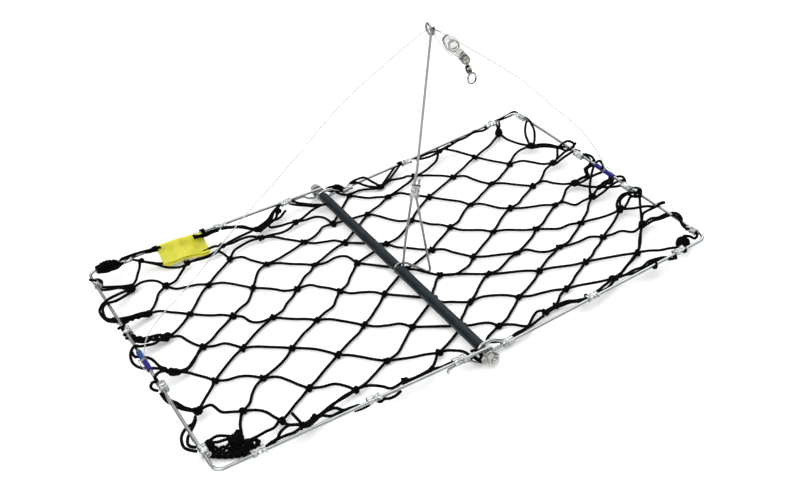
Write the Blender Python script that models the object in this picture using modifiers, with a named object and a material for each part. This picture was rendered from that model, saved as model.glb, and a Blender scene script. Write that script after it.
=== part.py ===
"""Castable crab trap: netted wire wings hinged on a rod, a leaning wire mast, and pull lines with a lock."""

import math

import bmesh
import bpy
from mathutils import Matrix, Vector

MM = 0.001

# Clearances
GAP = 0.3 * MM
RUNNING_GAP = 0.25 * MM

# Rod, sleeves, washers and nuts, all on the hinge axis
ROD_HEIGHT = 9.5 * MM
ROD_DIAMETER = 6.0 * MM
ROD_END_STICK_OUT = 2.4 * MM
SLEEVE_DIAMETER = 10.0 * MM
SLEEVE_GAP_CENTRE = -7.7 * MM
WASHER_DIAMETER = 12.0 * MM
WASHER_THICKNESS = 1.4 * MM
NUT_ACROSS_FLATS = 10.0 * MM
NUT_THICKNESS = 5.0 * MM

# Wings: one bent frame wire each, hooked round the rod at both ends
FRAME_WIRE_DIAMETER = 3.2 * MM
WING_LENGTH = 250.0 * MM
WING_MEAN_WIDTH = 305.0 * MM
WIRE_PITCH_ON_ROD = 3.9 * MM
HOOK_SHIFT = 3.0 * MM
HOOK_TAIL = 8.0 * MM
CORNER_RADIUS = 8.0 * MM
LEFT_SLOPE = math.radians(1.0)
RIGHT_SLOPE = math.radians(3.3)

# Net clamps on the frame wire
CLAMP_LENGTH = 12.0 * MM
CLAMP_LOBE_RADIUS = 2.7 * MM
CLAMP_LOBE_PITCH = 3.0 * MM
CLAMPS_ON_LEFT_FAR = (40.0 * MM, 113.0 * MM, 213.0 * MM)
CLAMPS_ON_LEFT_NEAR = (27.5 * MM, 110.0 * MM, 213.0 * MM)
CLAMPS_ON_RIGHT_FAR = (29.0 * MM, 103.0 * MM, 213.0 * MM)
CLAMPS_ON_RIGHT_NEAR = (24.5 * MM, 117.0 * MM, 218.0 * MM)
CLAMPS_ON_LEFT_END = (-128.0 * MM, -39.5 * MM, 49.5 * MM, 133.5 * MM)
CLAMPS_ON_RIGHT_END = (-133.5 * MM, -41.0 * MM, 36.0 * MM, 138.0 * MM)

# Net; the knots, clamps and bundles are placed for a wing of this length and width, in mm as x and y
PLACED_LENGTH = 250.0 * MM
PLACED_WIDTH = 305.0 * MM
TWINE_DIAMETER = 2.0 * MM
KNOT_DIAMETER = 4.6 * MM
KNOT_TAPER = 4.5 * MM
LONGEST_TAPER = 0.4
FLAT_ANGLE = math.radians(2.0)
NET_HEIGHT = 3.0 * MM
NET_RISE_WIDTH = 45.0 * MM
SELVEDGE_INSET = 8.0 * MM
SELVEDGE_DROP = 4.0 * MM
SELVEDGE_SWAY = 2.0 * MM
SELVEDGE_CORNER = 12.0 * MM
SHORTEST_TIE = 10.0 * MM
EDGE_POINTS_ON_SIDE = (108.0 * MM, 213.0 * MM)
EDGE_POINTS_ON_END = (-41.0 * MM, 41.0 * MM)
LEFT_KNOTS = (
    ((-13, 105), (-18, 71), (-24, 32), (-27, -25), (-30, -80), (-33, -128)),
    ((-41, 126), (-50, 95), (-58, 54), (-57, 5), (-65, -52), (-72, -106)),
    ((-81, 122), (-95, 80), (-89, 31), (-95, -21), (-102, -74), (-112, -125)),
    ((-120, 128), (-122, 106), (-123, 57), (-127, 5), (-131, -43), (-143, -99), (-159, -127)),
    ((-158, 118), (-156, 82), (-157, 28), (-167, -20), (-169, -66), (-180, -121)),
    ((-190, 106), (-188, 54), (-197, 2), (-204, -46), (-200, -93)),
    ((-218, 118), (-219, 78), (-219, 30), (-229, -19), (-229, -74)),
)
RIGHT_KNOTS = (
    ((24, 129), (26, 99), (15, 42), (9, -4), (7, -58), (7, -106)),
    ((58, 117), (53, 62), (46, 7), (31, -32), (30, -83), (33, -126)),
    ((100, 128), (92, 84), (80, 28), (71, -27), (68, -56), (71, -101)),
    ((132, 102), (118, 47), (109, -5), (108, -48), (110, -80), (110, -120)),
    ((171, 118), (157, 67), (146, 17), (146, -28), (146, -66), (151, -100), (153, -123)),
    ((193, 83), (187, 34), (183, -9), (186, -46), (187, -79), (195, -119)),
    ((226, 96), (226, 53), (221, 9), (219, -23), (224, -57), (226, -90)),
)

# Thick knots and gathered net near the corners: place, then length, width, height, turn
BUNDLES = {
    "net_bundle_left_far": ((-221.0, 126.0), (11.0 * MM, 11.0 * MM, 9.0 * MM), 0.0),
    "net_bundle_left_near": ((-222.0, -121.0), (46.0 * MM, 24.0 * MM, 13.0 * MM), math.radians(-35.0)),
    "net_bundle_right_far": ((222.0, 145.5), (8.5 * MM, 8.5 * MM, 11.0 * MM), 0.0),
    "net_bundle_right_near": ((239.5, -132.0), (13.5 * MM, 13.5 * MM, 13.0 * MM), 0.0),
}
BUNDLE_CUT = 1.0 * MM
BUNDLE_LUMP = 0.08
BUNDLE_LUMPS = 3
GATHER_OUT = 231.5 * MM
GATHER_LENGTH = 21.0 * MM
GATHER_WIDTH = 12.0 * MM

# Mast: one wire from the foot loop round the rod up to the ring at the top
MAST_WIRE_DIAMETER = 2.4 * MM
MAST_WRAP_SHIFT = 3.0 * MM
MAST_WRAP_START = math.radians(75.0)
MAST_WRAP_END = math.radians(351.0)
RING_MEAN_RADIUS = 5.1 * MM
RING_TURN = math.radians(400.0)
RING_SHIFT_PER_TURN = 2.75 * MM
RING_HEIGHT = 237.0 * MM
MAST_TOP = Vector((51.1, -8.5, 233.3)) * MM
MAST_ABOVE_FERRULE = (27.7, -8.5, 109.1)
MAST_FERRULE_TOP = Vector((23.6, -8.5, 95.0)) * MM
MAST_FERRULE_BOTTOM = Vector((20.0, -8.7, 83.5)) * MM
MAST_LEG = ((4.7, -9.2, 16.0), (9.3, -9.0, 39.6))
MAST_FOOT = (
    (27.3, -19.2, 5.0),
    (27.2, -19.2, 2.6),
    (26.6, -18.6, 1.5),
    (25.2, -17.3, 1.25),
    (23.2, -15.6, 1.9),
    (10.5, -7.2, 10.6),
    (8.3, -6.3, 11.8),
)
FERRULE_WALL = 1.0 * MM
FERRULE_LENGTH = 12.0 * MM
FERRULE_LOBE_PITCH = 4.1 * MM
FERRULE_FACING = (0.86, -0.51, 0.0)
CUT_END_ABOVE_FERRULE = 5.5 * MM

# Pull lines and the blue sleeves that tie them to the end bars
LINE_DIAMETER = 0.9 * MM
LINE_SLEEVE_DIAMETER = 5.0 * MM
LINE_SLEEVE_LENGTH = 29.0 * MM
LEFT_LINE_AT = 0.5 * MM
RIGHT_LINE_AT = -4.0 * MM
LINE_POINT_SPACING = 12.0 * MM
LOCK_LINE_SPACING = 2.5 * MM
LINE_SPLIT = 5
LEFT_LINE = (
    (52.9, -3.1, 237.8),
    (44.0, -2.8, 235.0),
    (-32.0, -2.0, 198.0),
    (-89.0, 0.0, 156.0),
    (-142.0, 1.5, 118.0),
    (-195.0, 1.6, 77.0),
    (-226.0, 1.0, 57.0),
    (-243.0, 0.6, 41.0),
)
RIGHT_LINE = (
    (53.6, -2.4, 236.3),
    (60.0, -2.6, 234.0),
    (92.6, -3.6, 207.0),
    (145.5, -4.0, 159.5),
    (185.7, -4.0, 115.0),
    (216.6, -4.0, 80.5),
    (241.0, -4.0, 43.0),
)
LOCK_LINE_FIRST = ((53.2, -3.15, 237.75), (57.9, -6.3, 236.4), (60.9, -8.5, 234.2), (62.6, -11.0, 232.6))
LOCK_LINE_SECOND = (
    (53.7, -4.3, 235.6),
    (56.5, -4.9, 234.5),
    (57.8, -6.4, 229.0),
    (60.4, -9.0, 222.6),
    (64.0, -12.5, 216.5),
    (67.2, -16.2, 212.4),
)

# Lock housing and swivel
LOCK_CENTRE = Vector((68.1, -15.0, 222.0)) * MM
LOCK_AXIS = Vector((0.523, -0.248, -0.815)).normalized()
LOCK_FACING = Vector((-0.132, -0.969, 0.211)).normalized()
LOCK_THICKNESS = 6.0 * MM
LOCK_OUTLINE = (
    (-2.6, -10.2), (1.4, -10.4), (4.2, -8.6), (5.7, -4.4), (5.6, 0.6), (4.6, 4.6), (3.7, 8.2),
    (3.5, 12.5), (3.6, 17.0), (3.0, 20.6), (1.4, 22.4), (-2.0, 22.4), (-3.6, 20.8), (-3.9, 16.5),
    (-4.2, 11.5), (-4.8, 7.0), (-5.6, 2.4), (-5.8, -2.2), (-4.6, -7.0),
)
LOCK_OUTLINE_END = 22.4 * MM
LOCK_DOME_RADIUS = 5.0 * MM
LOCK_DOME_RISE = 1.6 * MM
LOCK_SLOT_WIDTH = 3.4 * MM
LOCK_SLOT_START = 11.0 * MM
LOCK_PIN_AT = 17.0 * MM
LOCK_PIN_RADIUS = 0.8 * MM
LOCK_PIN_INSET = 0.5 * MM
LOCK_ROUNDING = 0.8 * MM
SWIVEL_AXIS = Vector((0.255, -0.097, -0.962)).normalized()
SWIVEL_WIRE_DIAMETER = 1.3 * MM
SWIVEL_EYE_RADIUS = 3.2 * MM
SWIVEL_BARREL_DIAMETER = 5.2 * MM
SWIVEL_BARREL_LENGTH = 7.5 * MM
SWIVEL_BARREL_TAPER = 0.62
SWIVEL_NECK_LENGTH = 2.2 * MM
SWIVEL_BORE_RADIUS = 0.95 * MM
SWIVEL_CHAMBER_RADIUS = 1.75 * MM
SWIVEL_CHAMBER_LENGTH = 4.6 * MM
SWIVEL_HEAD_RADIUS = 1.4 * MM
SWIVEL_HEAD_LENGTH = 1.2 * MM
SWIVEL_RING_RADIUS = 4.7 * MM
SWIVEL_RING_TURN = math.radians(168.0)

# Tag folded over the far frame wire of the left wing, and its two twine ties
TAG_LENGTH = 47.0 * MM
TAG_DROP = 19.0 * MM
TAG_THICKNESS = 0.8 * MM
TAG_CENTRE = 157.0 * MM
TAG_SLOPE = math.radians(35.0)
TAG_FOLD = 2.6
TAG_CLEARANCE_OF_NET = 12.0 * MM
TIE_TWINE_DIAMETER = 1.4 * MM

# Sizes that follow from those above
LENGTH_SHARE = WING_LENGTH / PLACED_LENGTH
TAG_OUT = TAG_CENTRE * LENGTH_SHARE
WIDTH_SHARE = WING_MEAN_WIDTH / PLACED_WIDTH
ROD_RADIUS = ROD_DIAMETER / 2
FRAME_WIRE_RADIUS = FRAME_WIRE_DIAMETER / 2
MAST_WIRE_RADIUS = MAST_WIRE_DIAMETER / 2
HOOK_RADIUS = ROD_RADIUS + RUNNING_GAP + FRAME_WIRE_RADIUS
MAST_WRAP_RADIUS = ROD_RADIUS + RUNNING_GAP + MAST_WIRE_RADIUS
LEFT_HALF_WIDTH = (WING_MEAN_WIDTH + WIRE_PITCH_ON_ROD) / 2
RIGHT_HALF_WIDTH = (WING_MEAN_WIDTH - WIRE_PITCH_ON_ROD) / 2
SLEEVE_END = RIGHT_HALF_WIDTH - HOOK_SHIFT - FRAME_WIRE_RADIUS - 2 * GAP
SLEEVE_GAP = MAST_WRAP_SHIFT + MAST_WIRE_DIAMETER + 2 * GAP
WASHER_START = LEFT_HALF_WIDTH + HOOK_SHIFT + FRAME_WIRE_RADIUS + GAP
NUT_START = WASHER_START + WASHER_THICKNESS + GAP
ROD_END = NUT_START + NUT_THICKNESS + ROD_END_STICK_OUT
AXIS_POINT = Vector((0.0, 0.0, ROD_HEIGHT))
TWINE_HALF_SIDE = TWINE_DIAMETER * math.sqrt(math.pi) / 4
KNOT_HALF_SIDE = KNOT_DIAMETER * math.sqrt(math.pi) / 4


def material(name, colour, roughness, metallic):
    made = bpy.data.materials.new(name)
    made.use_nodes = True
    shader = made.node_tree.nodes["Principled BSDF"]
    shader.inputs["Base Color"].default_value = (*colour, 1.0)
    shader.inputs["Roughness"].default_value = roughness
    shader.inputs["Metallic"].default_value = metallic
    return made


def start():
    for obj in list(bpy.data.objects):
        bpy.data.objects.remove(obj)
    parts = bpy.data.collections.new("castable_crab_trap")
    cutters = bpy.data.collections.new("cutters")
    bpy.context.scene.collection.children.link(parts)
    bpy.context.scene.collection.children.link(cutters)
    return parts, cutters


def link(obj, mat, parent):
    """Puts a finished piece among the parts, under the empty of its joint, without moving it."""
    PARTS.objects.link(obj)
    obj.data.materials.clear()
    obj.data.materials.append(mat)
    if parent:
        obj.parent = parent
        obj.matrix_parent_inverse = parent.matrix_world.inverted()
    return obj


def joint_empty(name, point, parent=None):
    empty = bpy.data.objects.new(name, None)
    empty.empty_display_size = 0.02
    PARTS.objects.link(empty)
    if parent:
        empty.parent = parent
        empty.matrix_parent_inverse = parent.matrix_world.inverted()
    empty.location = point
    bpy.context.view_layer.update()
    return empty


def tube_curve(name, points, diameter, sides=2):
    """A wire or cord through the given points, as a bevelled curve with filled ends."""
    curve = bpy.data.curves.new(name, "CURVE")
    curve.dimensions = "3D"
    curve.bevel_depth = diameter / 2
    curve.bevel_resolution = sides
    curve.use_fill_caps = True
    spline = curve.splines.new("POLY")
    spline.points.add(len(points) - 1)
    for target, point in zip(spline.points, points):
        target.co = (*point, 1.0)
        target.radius = 1.0
    return bpy.data.objects.new(name, curve)


def plate_curve(name, outlines, thickness):
    """A flat plate in its own XY plane; outlines after the first are holes."""
    curve = bpy.data.curves.new(name, "CURVE")
    curve.dimensions = "2D"
    curve.fill_mode = "BOTH"
    curve.extrude = thickness / 2
    for outline in outlines:
        spline = curve.splines.new("POLY")
        spline.points.add(len(outline) - 1)
        for target, (x, y) in zip(spline.points, outline):
            target.co = (x, y, 0.0, 1.0)
        spline.use_cyclic_u = True
    return bpy.data.objects.new(name, curve)


def as_mesh(curve_object):
    """The mesh of a curve object, with its caps welded on."""
    PARTS.objects.link(curve_object)
    bpy.context.view_layer.update()
    graph = bpy.context.evaluated_depsgraph_get()
    mesh = bpy.data.meshes.new_from_object(curve_object.evaluated_get(graph))
    made = bpy.data.objects.new(curve_object.name, mesh)
    made.matrix_world = curve_object.matrix_world
    bpy.data.objects.remove(curve_object)
    shape = bmesh.new()
    shape.from_mesh(mesh)
    bmesh.ops.remove_doubles(shape, verts=shape.verts, dist=1e-6)
    bmesh.ops.recalc_face_normals(shape, faces=shape.faces)
    shape.to_mesh(mesh)
    shape.free()
    made.name = mesh.name = made.name.split(".")[0]
    return made


def turned(name, profile, steps):
    """A solid turned about its own Z axis, from (radius, height) points that run down the outer side."""
    mesh = bpy.data.meshes.new(name)
    shape = bmesh.new()
    corners = [shape.verts.new((radius, 0.0, height)) for radius, height in profile]
    for first, second in zip(corners, corners[1:]):
        shape.edges.new((first, second))
    if profile[0][0] > 0 and profile[-1][0] > 0:
        shape.edges.new((corners[-1], corners[0]))
    shape.to_mesh(mesh)
    shape.free()
    obj = bpy.data.objects.new(name, mesh)
    screw = obj.modifiers.new("Turn", "SCREW")
    screw.axis = "Z"
    screw.steps = screw.render_steps = steps
    screw.use_merge_vertices = True
    screw.merge_threshold = 1e-5
    screw.use_smooth_shade = True
    return obj


def primitive(name, build):
    """A mesh object made by one bmesh creation call."""
    mesh = bpy.data.meshes.new(name)
    shape = bmesh.new()
    build(shape)
    shape.to_mesh(mesh)
    shape.free()
    return bpy.data.objects.new(name, mesh)


def cylinder(name, radius, length, sides, matrix):
    def build(shape):
        bmesh.ops.create_cone(
            shape, cap_ends=True, segments=sides, radius1=radius, radius2=radius, depth=length, matrix=matrix
        )

    return primitive(name, build)


def box(name, size, matrix):
    def build(shape):
        bmesh.ops.create_cube(shape, size=1.0, matrix=matrix @ Matrix.Diagonal((*size, 1.0)))

    return primitive(name, build)


def boolean(obj, other, operation):
    CUTTERS.objects.link(other)
    other.hide_render = True
    other.display_type = "WIRE"
    modifier = obj.modifiers.new(operation.title(), "BOOLEAN")
    modifier.operation = operation
    modifier.object = other
    modifier.solver = "EXACT"


def smooth(obj, angle=40.0):
    obj.data.shade_smooth()
    if obj.type == "MESH":
        obj.data.set_sharp_from_angle(angle=math.radians(angle))
    return obj


def along(axis, point):
    """The placing matrix that turns Z to the axis and moves to the point."""
    return Matrix.Translation(point) @ axis.to_track_quat("Z", "Y").to_matrix().to_4x4()


def arc(centre, radius, first, last, count):
    """Points of a plane arc, as (x, y)."""
    steps = [first + (last - first) * i / (count - 1) for i in range(count)]
    return [(centre[0] + radius * math.cos(a), centre[1] + radius * math.sin(a)) for a in steps]


def stadium(pitch, radius, count):
    """The outline round two lobes, the first at 0 and the second at the pitch along X."""
    right = arc((pitch, 0.0), radius, -math.pi / 2, math.pi / 2, count)
    left = arc((0.0, 0.0), radius, math.pi / 2, 3 * math.pi / 2, count)
    return right + left


def ring_outline(centre, radius, count):
    return arc(centre, radius, 0.0, 2 * math.pi * (1 - 1 / count), count)


def smooth_route(points, spacing):
    """Points at an even spacing on a smooth curve through the given points."""
    places = [Vector(p) for p in points]
    padded = [2 * places[0] - places[1], *places, 2 * places[-1] - places[-2]]
    dense = []
    for a, b, c, d in zip(padded, padded[1:], padded[2:], padded[3:]):
        for step in range(20):
            t = step / 20
            dense.append(
                b
                + 0.5 * (c - a) * t
                + (a - 2.5 * b + 2 * c - 0.5 * d) * t**2
                + 0.5 * (3 * b - a - 3 * c + d) * t**3
            )
    dense.append(places[-1])
    lengths = [0.0]
    for first, second in zip(dense, dense[1:]):
        lengths.append(lengths[-1] + (second - first).length)
    count = max(2, round(lengths[-1] / spacing) + 1)
    route = []
    index = 0
    for step in range(count):
        wanted = lengths[-1] * step / (count - 1)
        while index < len(dense) - 2 and lengths[index + 1] < wanted:
            index += 1
        span = lengths[index + 1] - lengths[index]
        route.append(dense[index].lerp(dense[index + 1], (wanted - lengths[index]) / span if span else 0.0))
    return route


def wing_point(side, out, across, height):
    """World place of a point of a wing: out from the axis, across along the rod, height off the axis."""
    slope = LEFT_SLOPE if side < 0 else RIGHT_SLOPE
    x = side * (out * math.cos(slope) - height * math.sin(slope))
    return Vector((x, across, ROD_HEIGHT + out * math.sin(slope) + height * math.cos(slope)))


def wing_half_width(side):
    return LEFT_HALF_WIDTH if side < 0 else RIGHT_HALF_WIDTH


def wire_height(side):
    """The left wing's wire passes over the rod and the right wing's wire under it."""
    return -side * HOOK_RADIUS


# The centre: rod, sleeves, washers and nuts


def make_centre(steel, sleeve_plastic):
    along_y = Vector((0.0, 1.0, 0.0))
    rod = cylinder("rod", ROD_RADIUS, 2 * ROD_END, 24, along(along_y, AXIS_POINT))
    link(smooth(rod), steel, None)
    ends = {
        "sleeve_far": (SLEEVE_GAP_CENTRE + SLEEVE_GAP / 2, SLEEVE_END),
        "sleeve_near": (-SLEEVE_END, SLEEVE_GAP_CENTRE - SLEEVE_GAP / 2),
    }
    bore = ROD_RADIUS + GAP
    for name, (start_at, end_at) in ends.items():
        half = (end_at - start_at) / 2
        outer = SLEEVE_DIAMETER / 2
        sleeve = turned(name, [(outer, half), (outer, -half), (bore, -half), (bore, half)], 24)
        sleeve.matrix_world = along(along_y, Vector((0.0, (start_at + end_at) / 2, ROD_HEIGHT)))
        link(sleeve, sleeve_plastic, None)
    for name, way in (("far", 1), ("near", -1)):
        half = WASHER_THICKNESS / 2
        outer = WASHER_DIAMETER / 2
        washer = turned(f"washer_{name}", [(outer, half), (outer, -half), (bore, -half), (bore, half)], 24)
        washer.matrix_world = along(along_y, Vector((0.0, way * (WASHER_START + half), ROD_HEIGHT)))
        link(washer, steel, None)
        corner = NUT_ACROSS_FLATS / 2 / math.cos(math.pi / 6)
        hexagon = ring_outline((0.0, 0.0), corner, 6)
        nut = plate_curve(f"nut_{name}", [hexagon, ring_outline((0.0, 0.0), bore, 16)], NUT_THICKNESS)
        nut.matrix_world = along(along_y, Vector((0.0, way * (NUT_START + NUT_THICKNESS / 2), ROD_HEIGHT)))
        link(as_mesh(nut), steel, None)


# The wings: frame wires, net clamps, nets and gathered net near the corners


def hook_points(side, way):
    """From the cut tail round the rod to the point where the wire leaves it, for one end of a wing wire."""
    width = wing_half_width(side)
    outward = 1 if side < 0 else -1
    start_height = wire_height(side)
    points = [wing_point(side, HOOK_TAIL, way * (width + outward * HOOK_SHIFT), -start_height)]
    count = 13
    for step in range(count):
        turn = math.pi * (1 - step / (count - 1))
        out = -HOOK_RADIUS * math.sin(turn)
        shift = outward * HOOK_SHIFT * turn / math.pi
        points.append(wing_point(side, out, way * (width + shift), start_height * math.cos(turn)))
    return points


def make_wing_wire(name, side, steel, parent):
    width = wing_half_width(side)
    inner = WING_LENGTH - CORNER_RADIUS
    far = arc((inner, width - CORNER_RADIUS), CORNER_RADIUS, math.pi / 2, 0.0, 6)
    near = [(out, -across) for out, across in reversed(far)]
    middle = [wing_point(side, out, across, wire_height(side)) for out, across in far + near]
    points = hook_points(side, 1) + middle + list(reversed(hook_points(side, -1)))
    link(tube_curve(name, points, FRAME_WIRE_DIAMETER), steel, parent)


def clamp_places(side):
    """(out, across, on the end bar) of each net clamp of a wing."""
    width = wing_half_width(side)
    far = CLAMPS_ON_LEFT_FAR if side < 0 else CLAMPS_ON_RIGHT_FAR
    near = CLAMPS_ON_LEFT_NEAR if side < 0 else CLAMPS_ON_RIGHT_NEAR
    places = []
    for far_out, near_out in zip(far, near):
        places.append((far_out * LENGTH_SHARE, width, False))
        places.append((near_out * LENGTH_SHARE, -width, False))
    for across in CLAMPS_ON_LEFT_END if side < 0 else CLAMPS_ON_RIGHT_END:
        places.append((WING_LENGTH, across * WIDTH_SHARE, True))
    return places


def make_clamps(prefix, side, metal, parent):
    outer = stadium(CLAMP_LOBE_PITCH, CLAMP_LOBE_RADIUS, 7)
    bore = ring_outline((0.0, 0.0), FRAME_WIRE_RADIUS + GAP, 12)
    first = None
    for index, (out, across, on_end) in enumerate(clamp_places(side)):
        if first is None:
            first = as_mesh(plate_curve(f"{prefix}_clamp_mesh", [outer, bore], CLAMP_LENGTH))
        clamp = bpy.data.objects.new(f"{prefix}_clamp_{index + 1:02d}", first.data)
        centre = wing_point(side, out, across, wire_height(side))
        outward = wing_point(side, out + MM, across, wire_height(side))
        ahead = centre + Vector((0.0, MM, 0.0)) if on_end else outward
        inward = 2 * centre - outward if on_end else centre - Vector((0.0, math.copysign(MM, across), 0.0))
        z_axis = (ahead - centre).normalized()
        x_axis = (inward - centre).normalized()
        turn = Matrix((x_axis, z_axis.cross(x_axis), z_axis)).transposed().to_4x4()
        clamp.matrix_world = Matrix.Translation(centre) @ turn
        link(clamp, metal, parent)
    bpy.data.objects.remove(first)


def frame_height(side, x, y):
    """Height of the wing wire's centre line over a point of the floor."""
    return wing_point(side, abs(x), y, wire_height(side)).z


def net_place(side, x, y):
    """A point of the net: low in the middle of the wing, rising to just under the wire at its edges."""
    to_side = wing_half_width(side) - abs(y)
    to_end = WING_LENGTH - abs(x)
    near = max(0.0, 1.0 - (min(to_side, to_end) - SELVEDGE_INSET) / NET_RISE_WIDTH)
    rise = min(1.0, near) ** 2
    top = frame_height(side, x, y) - SELVEDGE_DROP
    return Vector((x, y, NET_HEIGHT + (max(top, NET_HEIGHT) - NET_HEIGHT) * rise))


def under_tag(side, x, y):
    """True where the net's edge cord passes below the tag."""
    return side < 0 and y > 0 and abs(abs(x) - TAG_OUT) < TAG_LENGTH / 2 + TAG_CLEARANCE_OF_NET


def edge_place(side, x, y):
    """A point of the net's edge cord: just under the wire, but low under the tag."""
    height = NET_HEIGHT if under_tag(side, x, y) else frame_height(side, x, y) - SELVEDGE_DROP
    return Vector((x, y, height))


def on_wing(x, y):
    """A place typed in mm for the wing's placed size, moved with the wing's own length and width."""
    return Vector((x * LENGTH_SHARE, y * WIDTH_SHARE)) * MM


def neighbours(knot, following):
    """The knots just above and just below a knot in the next column: a diamond mesh joins it to both."""
    above = [other for other in following if other.y > knot.y]
    below = [other for other in following if other.y <= knot.y]
    found = []
    if above:
        found.append(min(above, key=lambda other: other.y))
    if below:
        found.append(max(below, key=lambda other: other.y))
    return found


def edge_stop(side, knot, in_last_column):
    """Where an edge knot hangs from the edge cord: straight across from it, or itself if it is near."""
    inset = SELVEDGE_INSET + SELVEDGE_SWAY
    if in_last_column:
        stop = Vector((side * (WING_LENGTH - inset), knot.y))
    else:
        stop = Vector((knot.x, math.copysign(wing_half_width(side) - inset, knot.y)))
    return knot if (stop - knot).length < SHORTEST_TIE else stop


def edge_route(side, stops):
    """The edge cord's points in order, through the stops, the sides' own points and the outer corners."""
    width = wing_half_width(side) - SELVEDGE_INSET
    end = WING_LENGTH - SELVEDGE_INSET
    corner = SELVEDGE_CORNER
    extra = [(end - corner, width), (end, width - corner), (end - corner, -width), (end, corner - width)]
    extra += [(out * LENGTH_SHARE, way * width) for out in EDGE_POINTS_ON_SIDE for way in (1, -1)]
    extra += [(end, across * WIDTH_SHARE) for across in EDGE_POINTS_ON_END]
    if side < 0:
        extra.append((TAG_OUT - TAG_LENGTH / 2 - SHORTEST_TIE / 5, width))
    points = [Vector(stop) for stop in stops]
    for out, across in extra:
        point = Vector((side * out, across))
        if min((point - other).length for other in points) > SHORTEST_TIE:
            points.append(point)

    def order(point):
        if end - abs(point.x) < width - abs(point.y):
            return (1, -point.y)
        return (0, abs(point.x)) if point.y > 0 else (2, -abs(point.x))

    return sorted(points, key=order)


def net_strands(side, columns, first_column_opposite):
    """The strands of one half of the net, as pairs of ends, each with its place and whether it is a knot."""
    rows = [[on_wing(*knot) for knot in column] for column in columns]
    opposite = [on_wing(*knot) for knot in first_column_opposite]
    pairs = []
    for row, following in zip(rows, rows[1:]):
        pairs += [(knot, other) for knot in row for other in neighbours(knot, following)]
    if side < 0:
        crossings = [(knot, other) for knot in rows[0] for other in neighbours(knot, opposite)]
    else:
        crossings = [(own, other) for other in opposite for own in neighbours(other, rows[0])]
    joined = [tuple(knot) for pair in pairs for knot in pair] + [tuple(own) for own, _ in crossings]

    def knot_end(knot):
        return net_place(side, *knot), True

    def edge_end(point):
        is_knot = any(point == knot for row in rows for knot in row)
        return knot_end(point) if is_knot else (edge_place(side, *point), False)

    strands = [(knot_end(first), knot_end(second)) for first, second in pairs]
    for own, other in crossings:
        at = own.lerp(other, own.x / (own.x - other.x))
        strands.append((knot_end(own), (Vector((side * GAP / 2, at.y, NET_HEIGHT)), False)))
    stops = []
    for row in rows:
        for knot in row:
            if joined.count(tuple(knot)) > 3:
                continue
            stop = edge_stop(side, knot, row is rows[-1])
            stops.append(stop)
            if stop != knot:
                strands.append((knot_end(knot), edge_end(stop)))
    route = edge_route(side, stops)
    strands += [(edge_end(first), edge_end(second)) for first, second in zip(route, route[1:])]
    return strands


def make_net(name, side, strands, twine, parent):
    """The strands as one closed skin, thicker at the knots."""
    mesh = bpy.data.meshes.new(name)
    shape = bmesh.new()
    skin = shape.verts.layers.skin.verify()
    made = {}

    def vertex(place, half_side):
        key = tuple(round(value, 6) for value in place)
        if key not in made:
            made[key] = shape.verts.new(place)
            made[key][skin].radius = (half_side, half_side)
        return made[key]

    for (start_at, start_knot), (end_at, end_knot) in strands:
        first = vertex(start_at, KNOT_HALF_SIDE if start_knot else TWINE_HALF_SIDE)
        last = vertex(end_at, KNOT_HALF_SIDE if end_knot else TWINE_HALF_SIDE)
        way = last.co - first.co
        taper = min(KNOT_TAPER / way.length, LONGEST_TAPER)
        chain = [first]
        if start_knot:
            chain.append(vertex(first.co + way * taper, TWINE_HALF_SIDE))
        if end_knot:
            chain.append(vertex(last.co - way * taper, TWINE_HALF_SIDE))
        chain.append(last)
        for one, two in zip(chain, chain[1:]):
            shape.edges.new((one, two))
    shape.verts.ensure_lookup_table()
    shape.verts[0][skin].use_root = True
    shape.to_mesh(mesh)
    shape.free()
    net = bpy.data.objects.new(name, mesh)
    skin_modifier = net.modifiers.new("Twine", "SKIN")
    skin_modifier.use_smooth_shade = True
    plain = net.modifiers.new("Plain", "DECIMATE")
    plain.decimate_type = "DISSOLVE"
    plain.angle_limit = FLAT_ANGLE
    link(net, twine, parent)


def lump(name, length, width, height, sides=16):
    """An uneven ball of gathered net round its own origin."""
    def build(shape):
        size = Matrix.Diagonal((length, width, height, 1.0))
        bmesh.ops.create_uvsphere(shape, u_segments=sides, v_segments=sides // 2, radius=0.5, matrix=size)
        for corner in shape.verts:
            swell = 1.0 + BUNDLE_LUMP * math.cos(BUNDLE_LUMPS * math.atan2(corner.co.y, corner.co.x))
            corner.co.x *= swell
            corner.co.y *= swell

    return primitive(name, build)


def make_bundle(name, place, size, turn, twine, parent):
    """A thick knot or a tangle of net near a corner, flat where it stands on the floor."""
    length, width, height = size
    bundle = lump(name, length, width, height + BUNDLE_CUT)
    bundle.data.transform(Matrix.Translation((0.0, 0.0, (height - BUNDLE_CUT) / 2)))
    shape = bmesh.new()
    shape.from_mesh(bundle.data)
    whole = shape.verts[:] + shape.edges[:] + shape.faces[:]
    cut = bmesh.ops.bisect_plane(shape, geom=whole, plane_co=(0, 0, 0), plane_no=(0, 0, -1), clear_outer=True)
    rim = [item for item in cut["geom_cut"] if isinstance(item, bmesh.types.BMEdge)]
    bmesh.ops.contextual_create(shape, geom=rim)
    bmesh.ops.recalc_face_normals(shape, faces=shape.faces)
    shape.to_mesh(bundle.data)
    shape.free()
    bundle.matrix_world = Matrix.Translation(on_wing(*place).to_3d()) @ Matrix.Rotation(turn, 4, "Z")
    link(smooth(bundle), twine, parent)


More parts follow.
